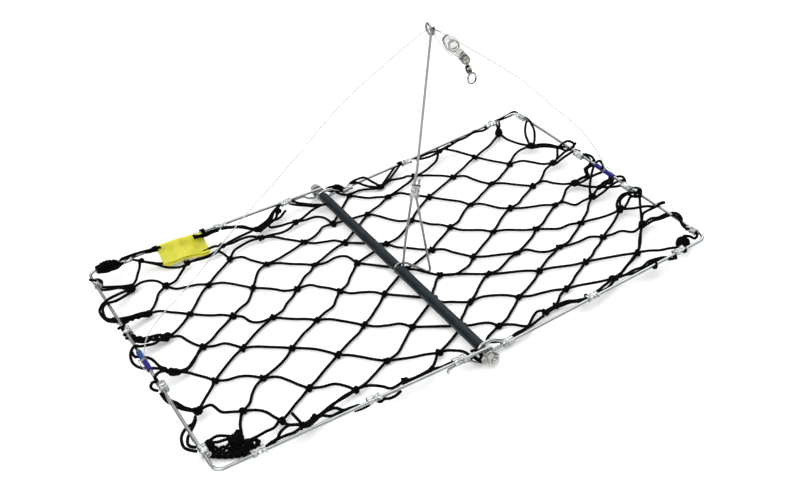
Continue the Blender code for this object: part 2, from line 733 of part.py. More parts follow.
def make_gather(name, side, twine, parent):
    """Net gathered round the frame wire beside its corner, with a bore that the wire runs through."""
    out = GATHER_OUT * LENGTH_SHARE
    centre = wing_point(side, out, wing_half_width(side), wire_height(side))
    slope = LEFT_SLOPE if side < 0 else RIGHT_SLOPE
    turn = Matrix.Translation(centre) @ Matrix.Rotation(-side * slope, 4, "Y")
    gather = lump(name, GATHER_LENGTH, GATHER_WIDTH, GATHER_WIDTH)
    gather.matrix_world = turn
    across = Matrix.Rotation(math.pi / 2, 4, "Y")
    bore = cylinder(f"{name}_bore", FRAME_WIRE_RADIUS + GAP, 2 * GATHER_LENGTH, 12, across)
    bore.matrix_world = turn
    boolean(gather, bore, "DIFFERENCE")
    link(smooth(gather), twine, parent)


# The mast: wire and ferrule


def ring_centre():
    lean = MAST_TOP - MAST_FERRULE_TOP
    x = MAST_TOP.x + (RING_HEIGHT - MAST_TOP.z) * lean.x / lean.z
    return Vector((x, MAST_TOP.y + RING_MEAN_RADIUS, RING_HEIGHT))


def ring_points(centre):
    """The ring in the plane across the hinge's right angle, from the mast side up and round."""
    count = 25
    points = []
    for step in range(count):
        turn = RING_TURN * step / (count - 1)
        shift = RING_SHIFT_PER_TURN * turn / (2 * math.pi)
        y = centre.y - RING_MEAN_RADIUS * math.cos(turn)
        points.append(Vector((centre.x + shift, y, centre.z + RING_MEAN_RADIUS * math.sin(turn))))
    return points


def mast_wrap_points():
    """The turn of the mast wire round the rod, in the gap between the sleeves."""
    count = 17
    points = []
    for step in range(count):
        share = step / (count - 1)
        turn = MAST_WRAP_START + (MAST_WRAP_END - MAST_WRAP_START) * share
        y = SLEEVE_GAP_CENTRE + MAST_WRAP_SHIFT * (0.5 - share)
        x = MAST_WRAP_RADIUS * math.cos(turn)
        points.append(Vector((x, y, ROD_HEIGHT + MAST_WRAP_RADIUS * math.sin(turn))))
    return points


def make_mast(steel, metal, parent):
    along_ferrule = (MAST_FERRULE_TOP - MAST_FERRULE_BOTTOM).normalized()
    side_step = Vector(FERRULE_FACING)
    side_step = (side_step - along_ferrule * side_step.dot(along_ferrule)).normalized() * FERRULE_LOBE_PITCH
    cut_end = MAST_FERRULE_TOP + side_step + along_ferrule * CUT_END_ABOVE_FERRULE
    foot = [Vector(point) * MM for point in MAST_FOOT]
    leg = [Vector(point) * MM for point in MAST_LEG]
    points = [cut_end, MAST_FERRULE_BOTTOM + side_step, *foot, *mast_wrap_points(), *leg]
    points += [MAST_FERRULE_BOTTOM, MAST_FERRULE_TOP, Vector(MAST_ABOVE_FERRULE) * MM]
    points += ring_points(ring_centre())
    link(tube_curve("mast_wire", points, MAST_WIRE_DIAMETER), steel, parent)
    bore = MAST_WIRE_RADIUS + GAP
    holes = [ring_outline((place, 0.0), bore, 12) for place in (0.0, FERRULE_LOBE_PITCH)]
    outer = stadium(FERRULE_LOBE_PITCH, bore + FERRULE_WALL, 8)
    ferrule = plate_curve("mast_ferrule", [outer, *holes], FERRULE_LENGTH)
    x_axis = side_step.normalized()
    turn = Matrix((x_axis, along_ferrule.cross(x_axis), along_ferrule)).transposed().to_4x4()
    middle = (MAST_FERRULE_TOP + MAST_FERRULE_BOTTOM) / 2
    ferrule.matrix_world = Matrix.Translation(middle) @ turn
    link(as_mesh(ferrule), metal, parent)


# The pull lines, in stretches that each hang between two bodies


def make_lines(line_plastic, sleeve_blue, mast, centre, left, right):
    end_height = {}
    for name, side, across, parent in (("left", -1, LEFT_LINE_AT, left), ("right", 1, RIGHT_LINE_AT, right)):
        place = wing_point(side, WING_LENGTH, across, wire_height(side))
        bore = FRAME_WIRE_RADIUS + GAP
        outer = LINE_SLEEVE_DIAMETER / 2
        half = LINE_SLEEVE_LENGTH / 2
        wall = [(outer, half), (outer, -half), (bore, -half), (bore, half)]
        sleeve = turned(f"line_sleeve_{name}", wall, 16)
        sleeve.matrix_world = along(Vector((0.0, 1.0, 0.0)), place)
        link(sleeve, sleeve_blue, parent)
        end_height[name] = place + Vector((0.0, 0.0, outer + GAP))
    routes = {"left": LEFT_LINE, "right": RIGHT_LINE}
    for name, points in routes.items():
        route = smooth_route([Vector(p) * MM for p in points] + [end_height[name]], LINE_POINT_SPACING)
        upper, lower = route[: LINE_SPLIT + 1], route[LINE_SPLIT:]
        lower[0] = lower[0] + (lower[1] - lower[0]).normalized() * GAP
        link(tube_curve(f"line_{name}_upper", upper, LINE_DIAMETER), line_plastic, mast)
        link(tube_curve(f"line_{name}_lower", lower, LINE_DIAMETER), line_plastic, centre)
    for name, points in (("first", LOCK_LINE_FIRST), ("second", LOCK_LINE_SECOND)):
        route = smooth_route([Vector(p) * MM for p in points], LOCK_LINE_SPACING)
        link(tube_curve(f"lock_line_{name}", route, LINE_DIAMETER), line_plastic, mast)


# The lock housing and the swivel


def lock_matrix():
    """The lock's own frame: X across, Y along it towards the swivel, Z away from the viewer's side."""
    across = LOCK_FACING.cross(LOCK_AXIS).normalized()
    back = across.cross(LOCK_AXIS)
    return Matrix.Translation(LOCK_CENTRE) @ Matrix((across, LOCK_AXIS, back)).transposed().to_4x4()


def make_lock(clear_plastic, parent):
    place = lock_matrix()
    outline = [(x * MM, y * MM) for x, y in LOCK_OUTLINE]
    housing = plate_curve("lock_housing", [outline], LOCK_THICKNESS)
    housing = as_mesh(housing)
    housing.matrix_world = place
    rounding = housing.modifiers.new("Round", "BEVEL")
    rounding.width = LOCK_ROUNDING
    rounding.segments = 2
    rounding.limit_method = "ANGLE"
    rounding.angle_limit = math.radians(40.0)

    def dome(shape):
        size = Matrix.Diagonal((1.0, 1.0, (LOCK_THICKNESS / 2 + LOCK_DOME_RISE) / LOCK_DOME_RADIUS, 1.0))
        bmesh.ops.create_uvsphere(shape, u_segments=20, v_segments=10, radius=LOCK_DOME_RADIUS, matrix=size)

    dome_object = primitive("lock_dome", dome)
    dome_object.matrix_world = place
    boolean(housing, dome_object, "UNION")
    slot_length = LOCK_OUTLINE_END - LOCK_SLOT_START + LOCK_SLOT_WIDTH
    slot_centre = Vector((0.0, LOCK_SLOT_START + slot_length / 2, 0.0))
    slot_size = (4 * LOCK_THICKNESS, slot_length, LOCK_SLOT_WIDTH)
    slot = box("lock_slot", slot_size, Matrix.Translation(slot_centre))
    slot.matrix_world = place
    boolean(housing, slot, "DIFFERENCE")
    pin_place = Matrix.Translation((0.0, LOCK_PIN_AT, 0.0))
    pin = cylinder("lock_pin", LOCK_PIN_RADIUS, LOCK_THICKNESS - 2 * LOCK_PIN_INSET, 12, pin_place)
    pin.matrix_world = place
    boolean(housing, pin, "UNION")
    link(smooth(housing), clear_plastic, parent)


def swivel_profile_with_head(reach, neck_radius):
    """Half outline of a shank that hangs a head in the barrel's chamber, from its outer end to the head."""
    return [
        (0.0, reach),
        (neck_radius, reach),
        (neck_radius, SWIVEL_HEAD_LENGTH),
        (SWIVEL_HEAD_RADIUS, SWIVEL_HEAD_LENGTH),
        (SWIVEL_HEAD_RADIUS, 0.0),
        (0.0, 0.0),
    ]


def make_loop_with_shank(name, loop_radius, head_at, loop_centre, way, turn, steel, parent):
    """A wire loop whose shank ends in a head inside the barrel; way is the direction from head to loop."""
    wire_radius = SWIVEL_WIRE_DIAMETER / 2
    reach = (loop_centre - head_at).length - loop_radius
    shank = turned(name, swivel_profile_with_head(reach, wire_radius), 12)
    shank.matrix_world = along(way, head_at)
    axis = way.cross(LOCK_AXIS.cross(LOCK_FACING)).normalized()
    axis = Matrix.Rotation(turn, 3, way) @ axis
    points = []
    count = 25
    start_way = way * -1.0
    across = axis.cross(start_way)
    for step in range(count):
        angle = 2 * math.pi * step / count
        points.append(loop_centre + loop_radius * (math.cos(angle) * start_way + math.sin(angle) * across))
    loop = tube_curve(f"{name}_loop", points, SWIVEL_WIRE_DIAMETER)
    loop.data.splines[0].use_cyclic_u = True
    boolean(shank, as_mesh(loop), "UNION")
    link(shank, steel, parent)


def make_swivel(steel, eye_parent, barrel_parent, ring_parent):
    pin_point = lock_matrix() @ Vector((0.0, LOCK_PIN_AT, 0.0))
    wire_radius = SWIVEL_WIRE_DIAMETER / 2
    eye_centre = pin_point + SWIVEL_AXIS * (SWIVEL_EYE_RADIUS - wire_radius - LOCK_PIN_RADIUS - GAP)
    barrel_top = eye_centre + SWIVEL_AXIS * (SWIVEL_EYE_RADIUS + wire_radius + SWIVEL_NECK_LENGTH)
    barrel_centre = barrel_top + SWIVEL_AXIS * (SWIVEL_BARREL_LENGTH / 2)
    chamber = SWIVEL_CHAMBER_LENGTH / 2
    half = SWIVEL_BARREL_LENGTH / 2
    outer = SWIVEL_BARREL_DIAMETER / 2
    profile = [
        (SWIVEL_BORE_RADIUS, half),
        (outer * SWIVEL_BARREL_TAPER, half),
        (outer, half * SWIVEL_BARREL_TAPER),
        (outer, -half * SWIVEL_BARREL_TAPER),
        (outer * SWIVEL_BARREL_TAPER, -half),
        (SWIVEL_BORE_RADIUS, -half),
        (SWIVEL_BORE_RADIUS, -chamber),
        (SWIVEL_CHAMBER_RADIUS, -chamber),
        (SWIVEL_CHAMBER_RADIUS, chamber),
        (SWIVEL_BORE_RADIUS, chamber),
    ]
    barrel = turned("swivel_barrel", profile, 16)
    barrel.matrix_world = along(SWIVEL_AXIS, barrel_centre)
    link(barrel, steel, barrel_parent)
    head_reach = chamber - GAP
    make_loop_with_shank(
        "swivel_eye", SWIVEL_EYE_RADIUS, barrel_centre - SWIVEL_AXIS * (head_reach - SWIVEL_HEAD_LENGTH),
        eye_centre, -SWIVEL_AXIS, 0.0, steel, eye_parent,
    )
    ring_centre_point = barrel_centre + SWIVEL_AXIS * (half + GAP + wire_radius + SWIVEL_RING_RADIUS)
    make_loop_with_shank(
        "swivel_ring", SWIVEL_RING_RADIUS, barrel_centre + SWIVEL_AXIS * (head_reach - SWIVEL_HEAD_LENGTH),
        ring_centre_point, SWIVEL_AXIS, SWIVEL_RING_TURN, steel, ring_parent,
    )


# The tag and its ties


def make_tag(tag_plastic, twine, parent):
    side = -1
    width = wing_half_width(side)
    inner = FRAME_WIRE_RADIUS + GAP
    outer = inner + TAG_THICKNESS
    lip = GAP / 2
    drawn_in = TAG_FOLD * outer
    outline = [(TAG_DROP, lip + TAG_THICKNESS), (drawn_in, lip + TAG_THICKNESS)]
    outline += arc((0.0, 0.0), outer, math.radians(70), math.radians(290), 11)
    outline += [(drawn_in, -lip - TAG_THICKNESS), (TAG_DROP, -lip - TAG_THICKNESS)]
    outline += [(TAG_DROP, -lip), (drawn_in, -lip)]
    outline += arc((0.0, 0.0), inner, math.radians(290), math.radians(70), 11)
    outline += [(drawn_in, lip), (TAG_DROP, lip)]
    centre = wing_point(side, TAG_OUT, width, wire_height(side))
    ahead = wing_point(side, TAG_OUT + MM, width, wire_height(side))
    z_axis = (ahead - centre).normalized()
    x_axis = Vector((0.0, -math.cos(TAG_SLOPE), -math.sin(TAG_SLOPE)))
    x_axis = (x_axis - z_axis * x_axis.dot(z_axis)).normalized()
    turn = Matrix((x_axis, z_axis.cross(x_axis), z_axis)).transposed().to_4x4()
    tag = as_mesh(plate_curve("tag", [outline], TAG_LENGTH))
    tag.matrix_world = Matrix.Translation(centre) @ turn
    link(tag, tag_plastic, parent)
    tie_radius = TIE_TWINE_DIAMETER / 2
    for index, way in enumerate((1, -1)):
        out = TAG_OUT + way * (TAG_LENGTH / 2 + GAP + tie_radius)
        tie_centre = wing_point(side, out, width, wire_height(side))
        loop = [(x, y) for x, y in ring_outline((0.0, 0.0), inner + tie_radius, 14)]
        points = [tie_centre + Vector((0.0, x, y)) for x, y in loop]
        tie = tube_curve(f"tag_tie_{index + 1}", points, TIE_TWINE_DIAMETER)
        tie.data.splines[0].use_cyclic_u = True
        link(tie, twine, parent)


PARTS, CUTTERS = start()
STEEL = material("stainless_steel", (0.5, 0.5, 0.48), 0.35, 1.0)
ALUMINIUM = material("pressed_aluminium", (0.6, 0.62, 0.62), 0.5, 1.0)
NICKEL = material("nickel_plate", (0.45, 0.43, 0.42), 0.2, 1.0)
TWINE = material("black_twine", (0.01, 0.01, 0.011), 0.9, 0.0)
SLEEVE = material("dark_sleeve_plastic", (0.012, 0.026, 0.035), 0.5, 0.0)
BLUE = material("blue_sleeve_plastic", (0.02, 0.04, 0.3), 0.4, 0.0)
CLEAR = material("clear_plastic", (0.7, 0.72, 0.72), 0.15, 0.0)
YELLOW = material("yellow_tag_plastic", (0.75, 0.7, 0.02), 0.5, 0.0)

LEFT = joint_empty("left_wing_hinge", AXIS_POINT)
RIGHT = joint_empty("right_wing_hinge", AXIS_POINT)
MAST = joint_empty("mast_hinge", AXIS_POINT)
LOCK = joint_empty("lock_slide", LOCK_CENTRE, MAST)
SWING = joint_empty("swivel_pin", lock_matrix() @ Vector((0.0, LOCK_PIN_AT, 0.0)), LOCK)
BARREL = joint_empty("barrel_spin", SWING.matrix_world.translation, SWING)
END_RING = joint_empty("ring_spin", SWING.matrix_world.translation, BARREL)

make_centre(STEEL, SLEEVE)
make_wing_wire("left_wing_wire", -1, STEEL, LEFT)
make_wing_wire("right_wing_wire", 1, STEEL, RIGHT)
make_clamps("left", -1, ALUMINIUM, LEFT)
make_clamps("right", 1, ALUMINIUM, RIGHT)
make_net("net_left", -1, net_strands(-1, LEFT_KNOTS, RIGHT_KNOTS[0]), TWINE, LEFT)
make_net("net_right", 1, net_strands(1, RIGHT_KNOTS, LEFT_KNOTS[0]), TWINE, RIGHT)
for bundle_name, (bundle_place, bundle_size, bundle_turn) in BUNDLES.items():
    bundle_wing = LEFT if bundle_place[0] < 0 else RIGHT
    make_bundle(bundle_name, bundle_place, bundle_size, bundle_turn, TWINE, bundle_wing)
make_gather("net_gather_left_far", -1, TWINE, LEFT)
make_mast(STEEL, ALUMINIUM, MAST)
make_lines(CLEAR, BLUE, MAST, None, LEFT, RIGHT)
make_lock(CLEAR, LOCK)
make_swivel(NICKEL, SWING, BARREL, END_RING)
make_tag(YELLOW, TWINE, LEFT)
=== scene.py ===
"""Looks of a castable crab trap: wires, twine net, pull lines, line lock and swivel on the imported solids."""

import math
import random

import bmesh
import bpy
from mathutils import Euler, Matrix, Vector


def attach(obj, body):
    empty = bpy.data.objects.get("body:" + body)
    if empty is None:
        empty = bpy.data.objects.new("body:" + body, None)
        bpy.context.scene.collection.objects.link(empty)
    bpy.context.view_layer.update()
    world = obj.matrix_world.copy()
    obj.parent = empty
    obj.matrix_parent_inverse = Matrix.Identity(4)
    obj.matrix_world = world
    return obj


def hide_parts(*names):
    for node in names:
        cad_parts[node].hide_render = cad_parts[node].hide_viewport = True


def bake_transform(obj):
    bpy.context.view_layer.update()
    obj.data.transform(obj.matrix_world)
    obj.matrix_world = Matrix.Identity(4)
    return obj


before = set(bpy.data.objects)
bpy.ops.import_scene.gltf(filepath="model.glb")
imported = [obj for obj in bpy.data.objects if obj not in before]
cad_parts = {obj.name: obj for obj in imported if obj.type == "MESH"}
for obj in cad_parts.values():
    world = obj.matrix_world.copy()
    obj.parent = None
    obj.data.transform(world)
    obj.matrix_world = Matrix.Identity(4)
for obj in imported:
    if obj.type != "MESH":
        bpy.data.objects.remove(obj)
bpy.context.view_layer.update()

MM = 0.001
FULL_TURN = 2 * math.pi

# Sides of the trap by their numbers; a way is 1 for the far end and -1 for the near one
SIDES = {"left": -1, "right": 1}

# Hinge
ROD_HEIGHT = 9.5 * MM
ROD_RADIUS = 3.0 * MM
ROD_END = 168.4 * MM
ALONG_ROD = Vector((0.0, 1.0, 0.0))
AXIS_POINT = Vector((0.0, 0.0, ROD_HEIGHT))
THREAD_LENGTH = 12.0 * MM
THREAD_PITCH = 1.0 * MM
THREAD_DEPTH = 0.45 * MM
TUBE_RADIUS = 5.0 * MM
TUBE_BORE = 3.3 * MM
TUBES = (
    ("tube_far", "sleeve_far", -4.7 * MM, 145.3 * MM),
    ("tube_near", "sleeve_near", -145.3 * MM, -10.7 * MM),
)
WASHER_START = 159.35 * MM
WASHER_THICKNESS = 1.4 * MM
WASHER_RADIUS = 6.0 * MM
NUT_START = 161.05 * MM
NUT_THICKNESS = 5.0 * MM
NUT_ACROSS_FLATS = 10.0 * MM

# Wing wires and their clamps, which lie at these millimetres out from the rod or across the wing
WING_LENGTH = 250.0 * MM
HALF_WIDTH = {-1: 154.45 * MM, 1: 150.55 * MM}
SLOPE = {-1: math.radians(1.0), 1: math.radians(3.3)}
FRAME_WIRE_RADIUS = 1.6 * MM
HOOK_RADIUS = 4.85 * MM
HOOK_SHIFT = 3.0 * MM
HOOK_TAIL = 8.0 * MM
TAIL_RADIUS = 1.25 * MM
CORNER_RADIUS = 8.0 * MM
CLAMPS_ON_FAR_SIDE = {-1: (40.0, 113.0, 213.0), 1: (29.0, 103.0, 213.0)}
CLAMPS_ON_NEAR_SIDE = {-1: (27.5, 110.0, 213.0), 1: (24.5, 117.0, 218.0)}
CLAMPS_ON_END = {-1: (-128.0, -39.5, 49.5, 133.5), 1: (-133.5, -41.0, 36.0, 138.0)}
CLAMP_LENGTH = 11.5 * MM
CLAMP_RADIUS = 2.35 * MM
CLAMP_PITCH = 2.9 * MM
CLAMP_CRIMPS = ((0.28, 0.72), (0.5,), (0.22, 0.6))

# Pull lines: points in millimetres
LINE_RADIUS = 0.45 * MM
LINE_POINT_SPACING = 12.0 * MM
LOCK_LINE_SPACING = 2.5 * MM
LINE_SPLIT = 5
TIED_AT = {-1: 0.5 * MM, 1: -4.0 * MM}
SLEEVE_RADIUS = 2.5 * MM
LINES = {
    -1: (
        (52.9, -3.1, 237.8), (44.0, -2.8, 235.0), (-32.0, -2.0, 198.0), (-89.0, 0.0, 156.0),
        (-142.0, 1.5, 118.0), (-195.0, 1.6, 77.0), (-226.0, 1.0, 57.0), (-243.0, 0.6, 41.0),
    ),
    1: (
        (53.6, -2.4, 236.3), (60.0, -2.6, 234.0), (92.6, -3.6, 207.0), (145.5, -4.0, 159.5),
        (185.7, -4.0, 115.0), (216.6, -4.0, 80.5), (241.0, -4.0, 43.0),
    ),
}
LOCK_LINE_FIRST = ((53.2, -3.15, 237.75), (57.9, -6.3, 236.4), (60.9, -8.5, 234.2), (62.6, -11.0, 232.6))
LOCK_LINE_SECOND = (
    (53.7, -4.3, 235.6), (56.5, -4.9, 234.5), (57.8, -6.4, 229.0), (60.4, -9.0, 222.6), (64.0, -12.5, 216.5),
    (67.2, -16.2, 212.4),
)

# Mast: its leg and foot in millimetres, and its wrap round the rod in degrees
MAST_WIRE_RADIUS = 1.2 * MM
MAST_WRAP_RADIUS = 4.45 * MM
MAST_WRAP_PLACE = -7.7 * MM
MAST_WRAP_RUN = 3.0 * MM
MAST_WRAP_START = 75.0
MAST_WRAP_SWEEP = 276.0
MAST_TOP = Vector((51.1, -8.5, 233.3)) * MM
MAST_FERRULE_TOP = Vector((23.6, -8.5, 95.0)) * MM
MAST_FERRULE_BOTTOM = Vector((20.0, -8.7, 83.5)) * MM
MAST_BEND = Vector((27.7, -8.5, 109.1)) * MM
MAST_LEG = ((4.7, -9.2, 16.0), (9.3, -9.0, 39.6))
MAST_FOOT = (
    (27.3, -19.2, 5.0), (27.2, -19.2, 2.6), (26.6, -18.6, 1.5), (25.2, -17.3, 1.25), (23.2, -15.6, 1.9),
    (10.5, -7.2, 10.6), (8.3, -6.3, 11.8),
)
RING_HEIGHT = 237.0 * MM
RING_RADIUS = 5.1 * MM
RING_PITCH = 2.75 * MM
RING_SWEEP = math.radians(400.0)
FERRULE_PITCH = 4.1 * MM

# Line lock, with half its thickness and its outline in millimetres, and the swivel on its pin
LOCK_CENTRE = Vector((68.1, -15.0, 222.0)) * MM
LOCK_AXIS = Vector((0.523, -0.248, -0.815)).normalized()
LOCK_FACING = Vector((-0.132, -0.969, 0.211)).normalized()
LOCK_HALF = 3.0
LOCK_OUTLINE = (
    (-2.6, -10.2), (1.4, -10.4), (4.2, -8.6), (5.7, -4.4), (5.6, 0.6), (4.6, 4.6), (3.7, 8.2),
    (3.5, 12.5), (3.6, 17.0), (3.0, 20.6), (1.4, 22.4), (-2.0, 22.4), (-3.6, 20.8), (-3.9, 16.5),
    (-4.2, 11.5), (-4.8, 7.0), (-5.6, 2.4), (-5.8, -2.2), (-4.6, -7.0),
)
LOCK_PIN = Vector((0.0, 17.0 * MM, 0.0))
LOCK_PIN_RADIUS = 0.8 * MM
SWIVEL_AXIS = Vector((0.255, -0.097, -0.962)).normalized()
SWIVEL_WIRE_RADIUS = 0.78 * MM
SHANK_RADIUS = 0.65 * MM
SHANK_BORE = 0.95 * MM
SHANK_REACH = 2.2 * MM
EYE_RADIUS = 3.2 * MM
END_RING_RADIUS = 4.7 * MM
END_RING_TURN = math.radians(168.0)
RUNNING_GAP = 0.3 * MM
BARREL_HALF = 3.75 * MM
BARREL_RADIUS = 2.95 * MM
CHAMBER_HALF = 2.3 * MM
CHAMBER_RADIUS = 1.75 * MM
SHANK_HEAD = 1.2 * MM
SHANK_HEAD_RADIUS = 1.4 * MM

# Tag: its two flaps' lines in millimetres, from the fold's centre
TAG_LENGTH = 47.0 * MM
TAG_DROP = 19.0 * MM
TAG_CENTRE = 157.0 * MM
TAG_SLOPE = math.radians(35.0)
TAG_THICKNESS = 0.6 * MM
TAG_CORNER = 4.0 * MM
TAG_FOLD_RADIUS = 2.3 * MM
TAG_UPPER_FLAP = ((19.4, 0.75), (14.0, 0.65), (9.5, 0.6), (6.5, 0.85), (3.6, 1.6))
TAG_LOWER_FLAP = ((3.6, -1.6), (6.5, -0.85), (10.0, -0.55), (16.0, -0.55), (21.4, -0.6))

# Net; the roll gathered round the wire has its sizes in millimetres
TWINE_RADIUS = 1.5 * MM
TWINE_LAY = 7.0 * MM
TWINE_GROOVE = 0.2
NET_HEIGHT = 3.0 * MM
NET_RISE_WIDTH = 45.0 * MM
SELVEDGE_INSET = 8.0 * MM
SELVEDGE_DROP = 4.0 * MM
GATHER_START = 222.0
GATHER_LENGTH = 19.0
GATHER_LAYERS = (3.0, 4.0, 4.9)

# Thick knots and tangles in mm: centre, size, turn in degrees, turns of twine
LEFT_LUMPS = (
    ((-221, 126, 4.5), (11.5, 11.5, 9), 0, 9),
    ((-240.5, -113.5, 5.5), (10, 14, 11), -35, 10),
    ((-219.5, -120.5, 6.5), (14, 13, 13), -35, 13),
    ((-215.5, -116, 8), (7.5, 7.5, 8), 0, 6),
    ((-213, -129.5, 5.5), (9, 9.5, 11), 0, 8),
    ((-81, 136.5, 8), (10, 7, 6.5), -40, 5),
    ((-221, 75.5, 6.5), (9, 7, 6.5), -10, 5),
    ((-219, 35, 6.5), (11, 8, 7.5), 20, 6),
    ((-230.5, -16.5, 8.5), (14, 7, 7.5), -40, 7),
    ((-233, -75, 10), (9, 8, 8), 0, 5),
)
RIGHT_LUMPS = (
    ((222, 145.5, 5.5), (9, 9, 11.5), 0, 8),
    ((239.5, -132, 6.8), (14, 14, 13.5), 0, 16),
    ((216, 152, 16.5), (9, 6.5, 6.5), 0, 5),
    ((197, -142.5, 12), (8, 6, 6), -20, 5),
    ((152, -136.5, 8), (10, 6.5, 6.5), -60, 5),
    ((222, 10, 8), (9, 9, 7.5), 0, 5),
    ((228, -55, 9.5), (9, 8, 7.5), 0, 5),
    ((228, -88, 9.5), (9, 8, 7.5), 0, 5),
    ((228.5, 54, 8.5), (9, 8, 7.5), 0, 5),
    ((229, 96, 9.5), (9.5, 8, 7.5), 0, 5),
    ((222, -19, 7.5), (9, 8, 7.5), 0, 5),
)
LUMPS = {-1: LEFT_LUMPS, 1: RIGHT_LUMPS}
# Gathered strands in mm: route, number of strands, radius of the twist, length of a turn
LEFT_ROPES = (
    (((-246, -114, 4), (-241, -121, 4), (-235, -126, 4), (-229, -130, 4), (-223, -133, 4), (-217, -134.5, 4),
      (-211, -134.5, 4), (-206, -135, 5)), 3, 2.1, 15),
    (((-238, -117.4, 5), (-234, -120.7, 5), (-230, -121.5, 5), (-225, -122, 5)), 2, 1.6, 12),
    (((-254, 74.5, 17), (-247.6, 68.6, 15), (-235.6, 73.3, 11), (-223, 75.5, 7.5)), 2, 1.6, 13),
    (((-250.4, 48, 17), (-246, 42.4, 14.5), (-237, 36.5, 11), (-227.3, 37.3, 8), (-219, 35, 6.5)),
     2, 1.7, 12),
    (((-228, -124, 3), (-223, -126, 4), (-218, -129, 4), (-214, -132, 4)), 2, 1.4, 10),
    (((-240, -110, 8), (-236.6, -109.3, 8), (-232, -109.4, 9), (-228, -111.2, 9), (-222, -115, 8)), 1, 0, 9),
    (((-238, -111, 7), (-232.5, -113.6, 6.5), (-228.5, -114.7, 7), (-221, -116, 6.5)), 1, 0, 9),
    (((-211.5, -129, 7), (-208, -127.5, 7), (-205.5, -129.5, 6), (-205.7, -133, 5), (-209, -134.5, 5)),
     2, 1, 9),
)
RIGHT_ROPES = (
    (((11.8, 149.6, 11), (14, 149.4, 13), (17, 148.5, 14), (20, 147, 13), (23, 145, 10)), 4, 1.5, 14),
    (((233, -14, 10), (240, -17, 14), (247, -21, 17)), 2, 1.5, 11),
)
ROPES = {-1: LEFT_ROPES, 1: RIGHT_ROPES}
# The solids that the knots and tangles stand for
LEFT_BUNDLES = ("net_bundle_left_far", "net_bundle_left_near", "net_gather_left_far")
RIGHT_BUNDLES = ("net_bundle_right_far", "net_bundle_right_near")
BUNDLES = {-1: LEFT_BUNDLES, 1: RIGHT_BUNDLES}
# Columns of the mesh's knots in mm, from the rod outwards; typed, then a program moved each to the
# middle of its dark spot in the photo
LEFT_KNOTS = (
    ((-11.5, 104.5), (-17.3, 68.4), (-24, 31.8), (-27.1, -25.3), (-30.6, -80.9), (-31, -126.3)),
    ((-42, 127.1), (-49.9, 94.3), (-59.2, 54.2), (-58.2, 3.2), (-64.1, -53.1), (-71.5, -106.5)),
    ((-82.7, 124.3), (-95.9, 83.5), (-89.8, 30.3), (-95.3, -21.5), (-102.3, -74.7), (-112.1, -124.8)),
    ((-121, 132.9), (-122.3, 112.2), (-123.2, 57.3), (-126.6, 6.2), (-131.3, -42.6), (-142.5, -97.1),
     (-157, -137)),
    ((-161, 128.2), (-155.9, 87.3), (-156.2, 30), (-167.1, -16.8), (-169.2, -63), (-179.1, -120.7)),
    ((-190.5, 110.5), (-187.8, 56.8), (-196, 6.1), (-204.8, -41.8), (-200.2, -89.7)),
    ((-219.6, 123.3), (-221.1, 76.5), (-219.7, 34.1), (-230.9, -17.9), (-231.8, -74.1)),
)
RIGHT_KNOTS = (
    ((27, 140), (26.2, 98.2), (15, 42), (9, -4), (7, -58), (7, -106)),
    ((58.4, 112.8), (56.4, 61.4), (45.4, 6.4), (30.2, -32), (30.6, -82.2), (32.7, -125.1)),
    ((100.6, 128.2), (92.7, 86.7), (80.6, 28), (71.3, -27), (67.3, -57.7), (70.5, -102.4)),
    ((133.1, 103.2), (118.3, 48.7), (109.8, -4.6), (108.3, -47), (108.3, -82.1), (111, -119.5)),
    ((172.6, 119.8), (157.6, 67.8), (147.1, 18.9), (146.4, -26.1), (146.1, -63.3), (151.2, -96.7),
     (152, -136)),
    ((195.9, 87.3), (189.8, 37.8), (186.5, -4.1), (187.7, -44.3), (189.8, -75.5), (197.2, -116.2)),
    ((229.4, 96.5), (228.2, 54.1), (223.3, 12.2), (221.9, -18.8), (227.6, -55.2), (227.6, -87.9)),
)
KNOTS = {-1: LEFT_KNOTS, 1: RIGHT_KNOTS}
# Slack of each strand, in mm to the left of its chord at one, two and three quarters of its length; a
# program fitted it to the photo
LEFT_SLACK = (
    (-9, -10, -4.5), (-4, -0.5, 1.5), (-3.5, -1, 1.5), (-1.5, -1, 0), (-11.5, -11, -2.5), (1, 1.5, 3),
    (-2, -0.5, 2), (1.5, 1.5, 1.5), (-4, -1, 1), (1.5, 3, 4), (-1, 0, 0), (4.5, 5, 2), (-2, -3, -4),
    (1.5, 2, 2), (-1, -1, -2), (1, -1, -0.5), (-3.5, -5, -7), (2, 4.5, 1.5), (-1.5, -2.5, -3), (1.5, 0.5, 0),
    (0, -1, -1.5), (0.5, 1.5, 2), (-4.5, -3.5, -0.5), (-4.5, -6, -6), (-1.5, -3.5, -6), (-4, -3.5, -1.5),
    (3, 1, 0), (2, 2, 3.5), (-0.5, 0.5, 0.5), (0, -1, -0.5), (-2, -3, -2), (0, 0, 0.5), (-5.5, -7.5, -2.5),
    (-2, -1, 2), (3.5, 3.5, 1.5), (-12, -7.5, -4), (-0.5, -1, -1), (-2, -4, -4.5), (3, 4.5, 1.5),
    (7, 7, 0.5), (-1, -1.5, -1), (-1, -1.5, -2), (2.5, 3, 2), (-1.5, -4, -5), (0, -0.5, 0), (8, 7.5, 6.5),
    (1.5, 3, 4), (-1, 2, 4.5), (-1.5, -1, 0), (-1, 0.5, 0.5), (0.5, 0.5, 1.5), (-3.5, -5.5, -1.5),
    (-1.5, -1.5, -1), (-3.5, -4, -0.5), (-2, -1, 1.5), (-3, -6, -5), (-7, -8.5, -6.5), (-3, -1, 0.5),
    (-2.5, -4.5, -6), (1, 1.5, 1.5), (-1.5, -4.5, -7.5), (1, 3, 4.5), (-2.5, -3.5, -4), (0, -0.5, -0.5),
    (0, 0, -8.5),
)
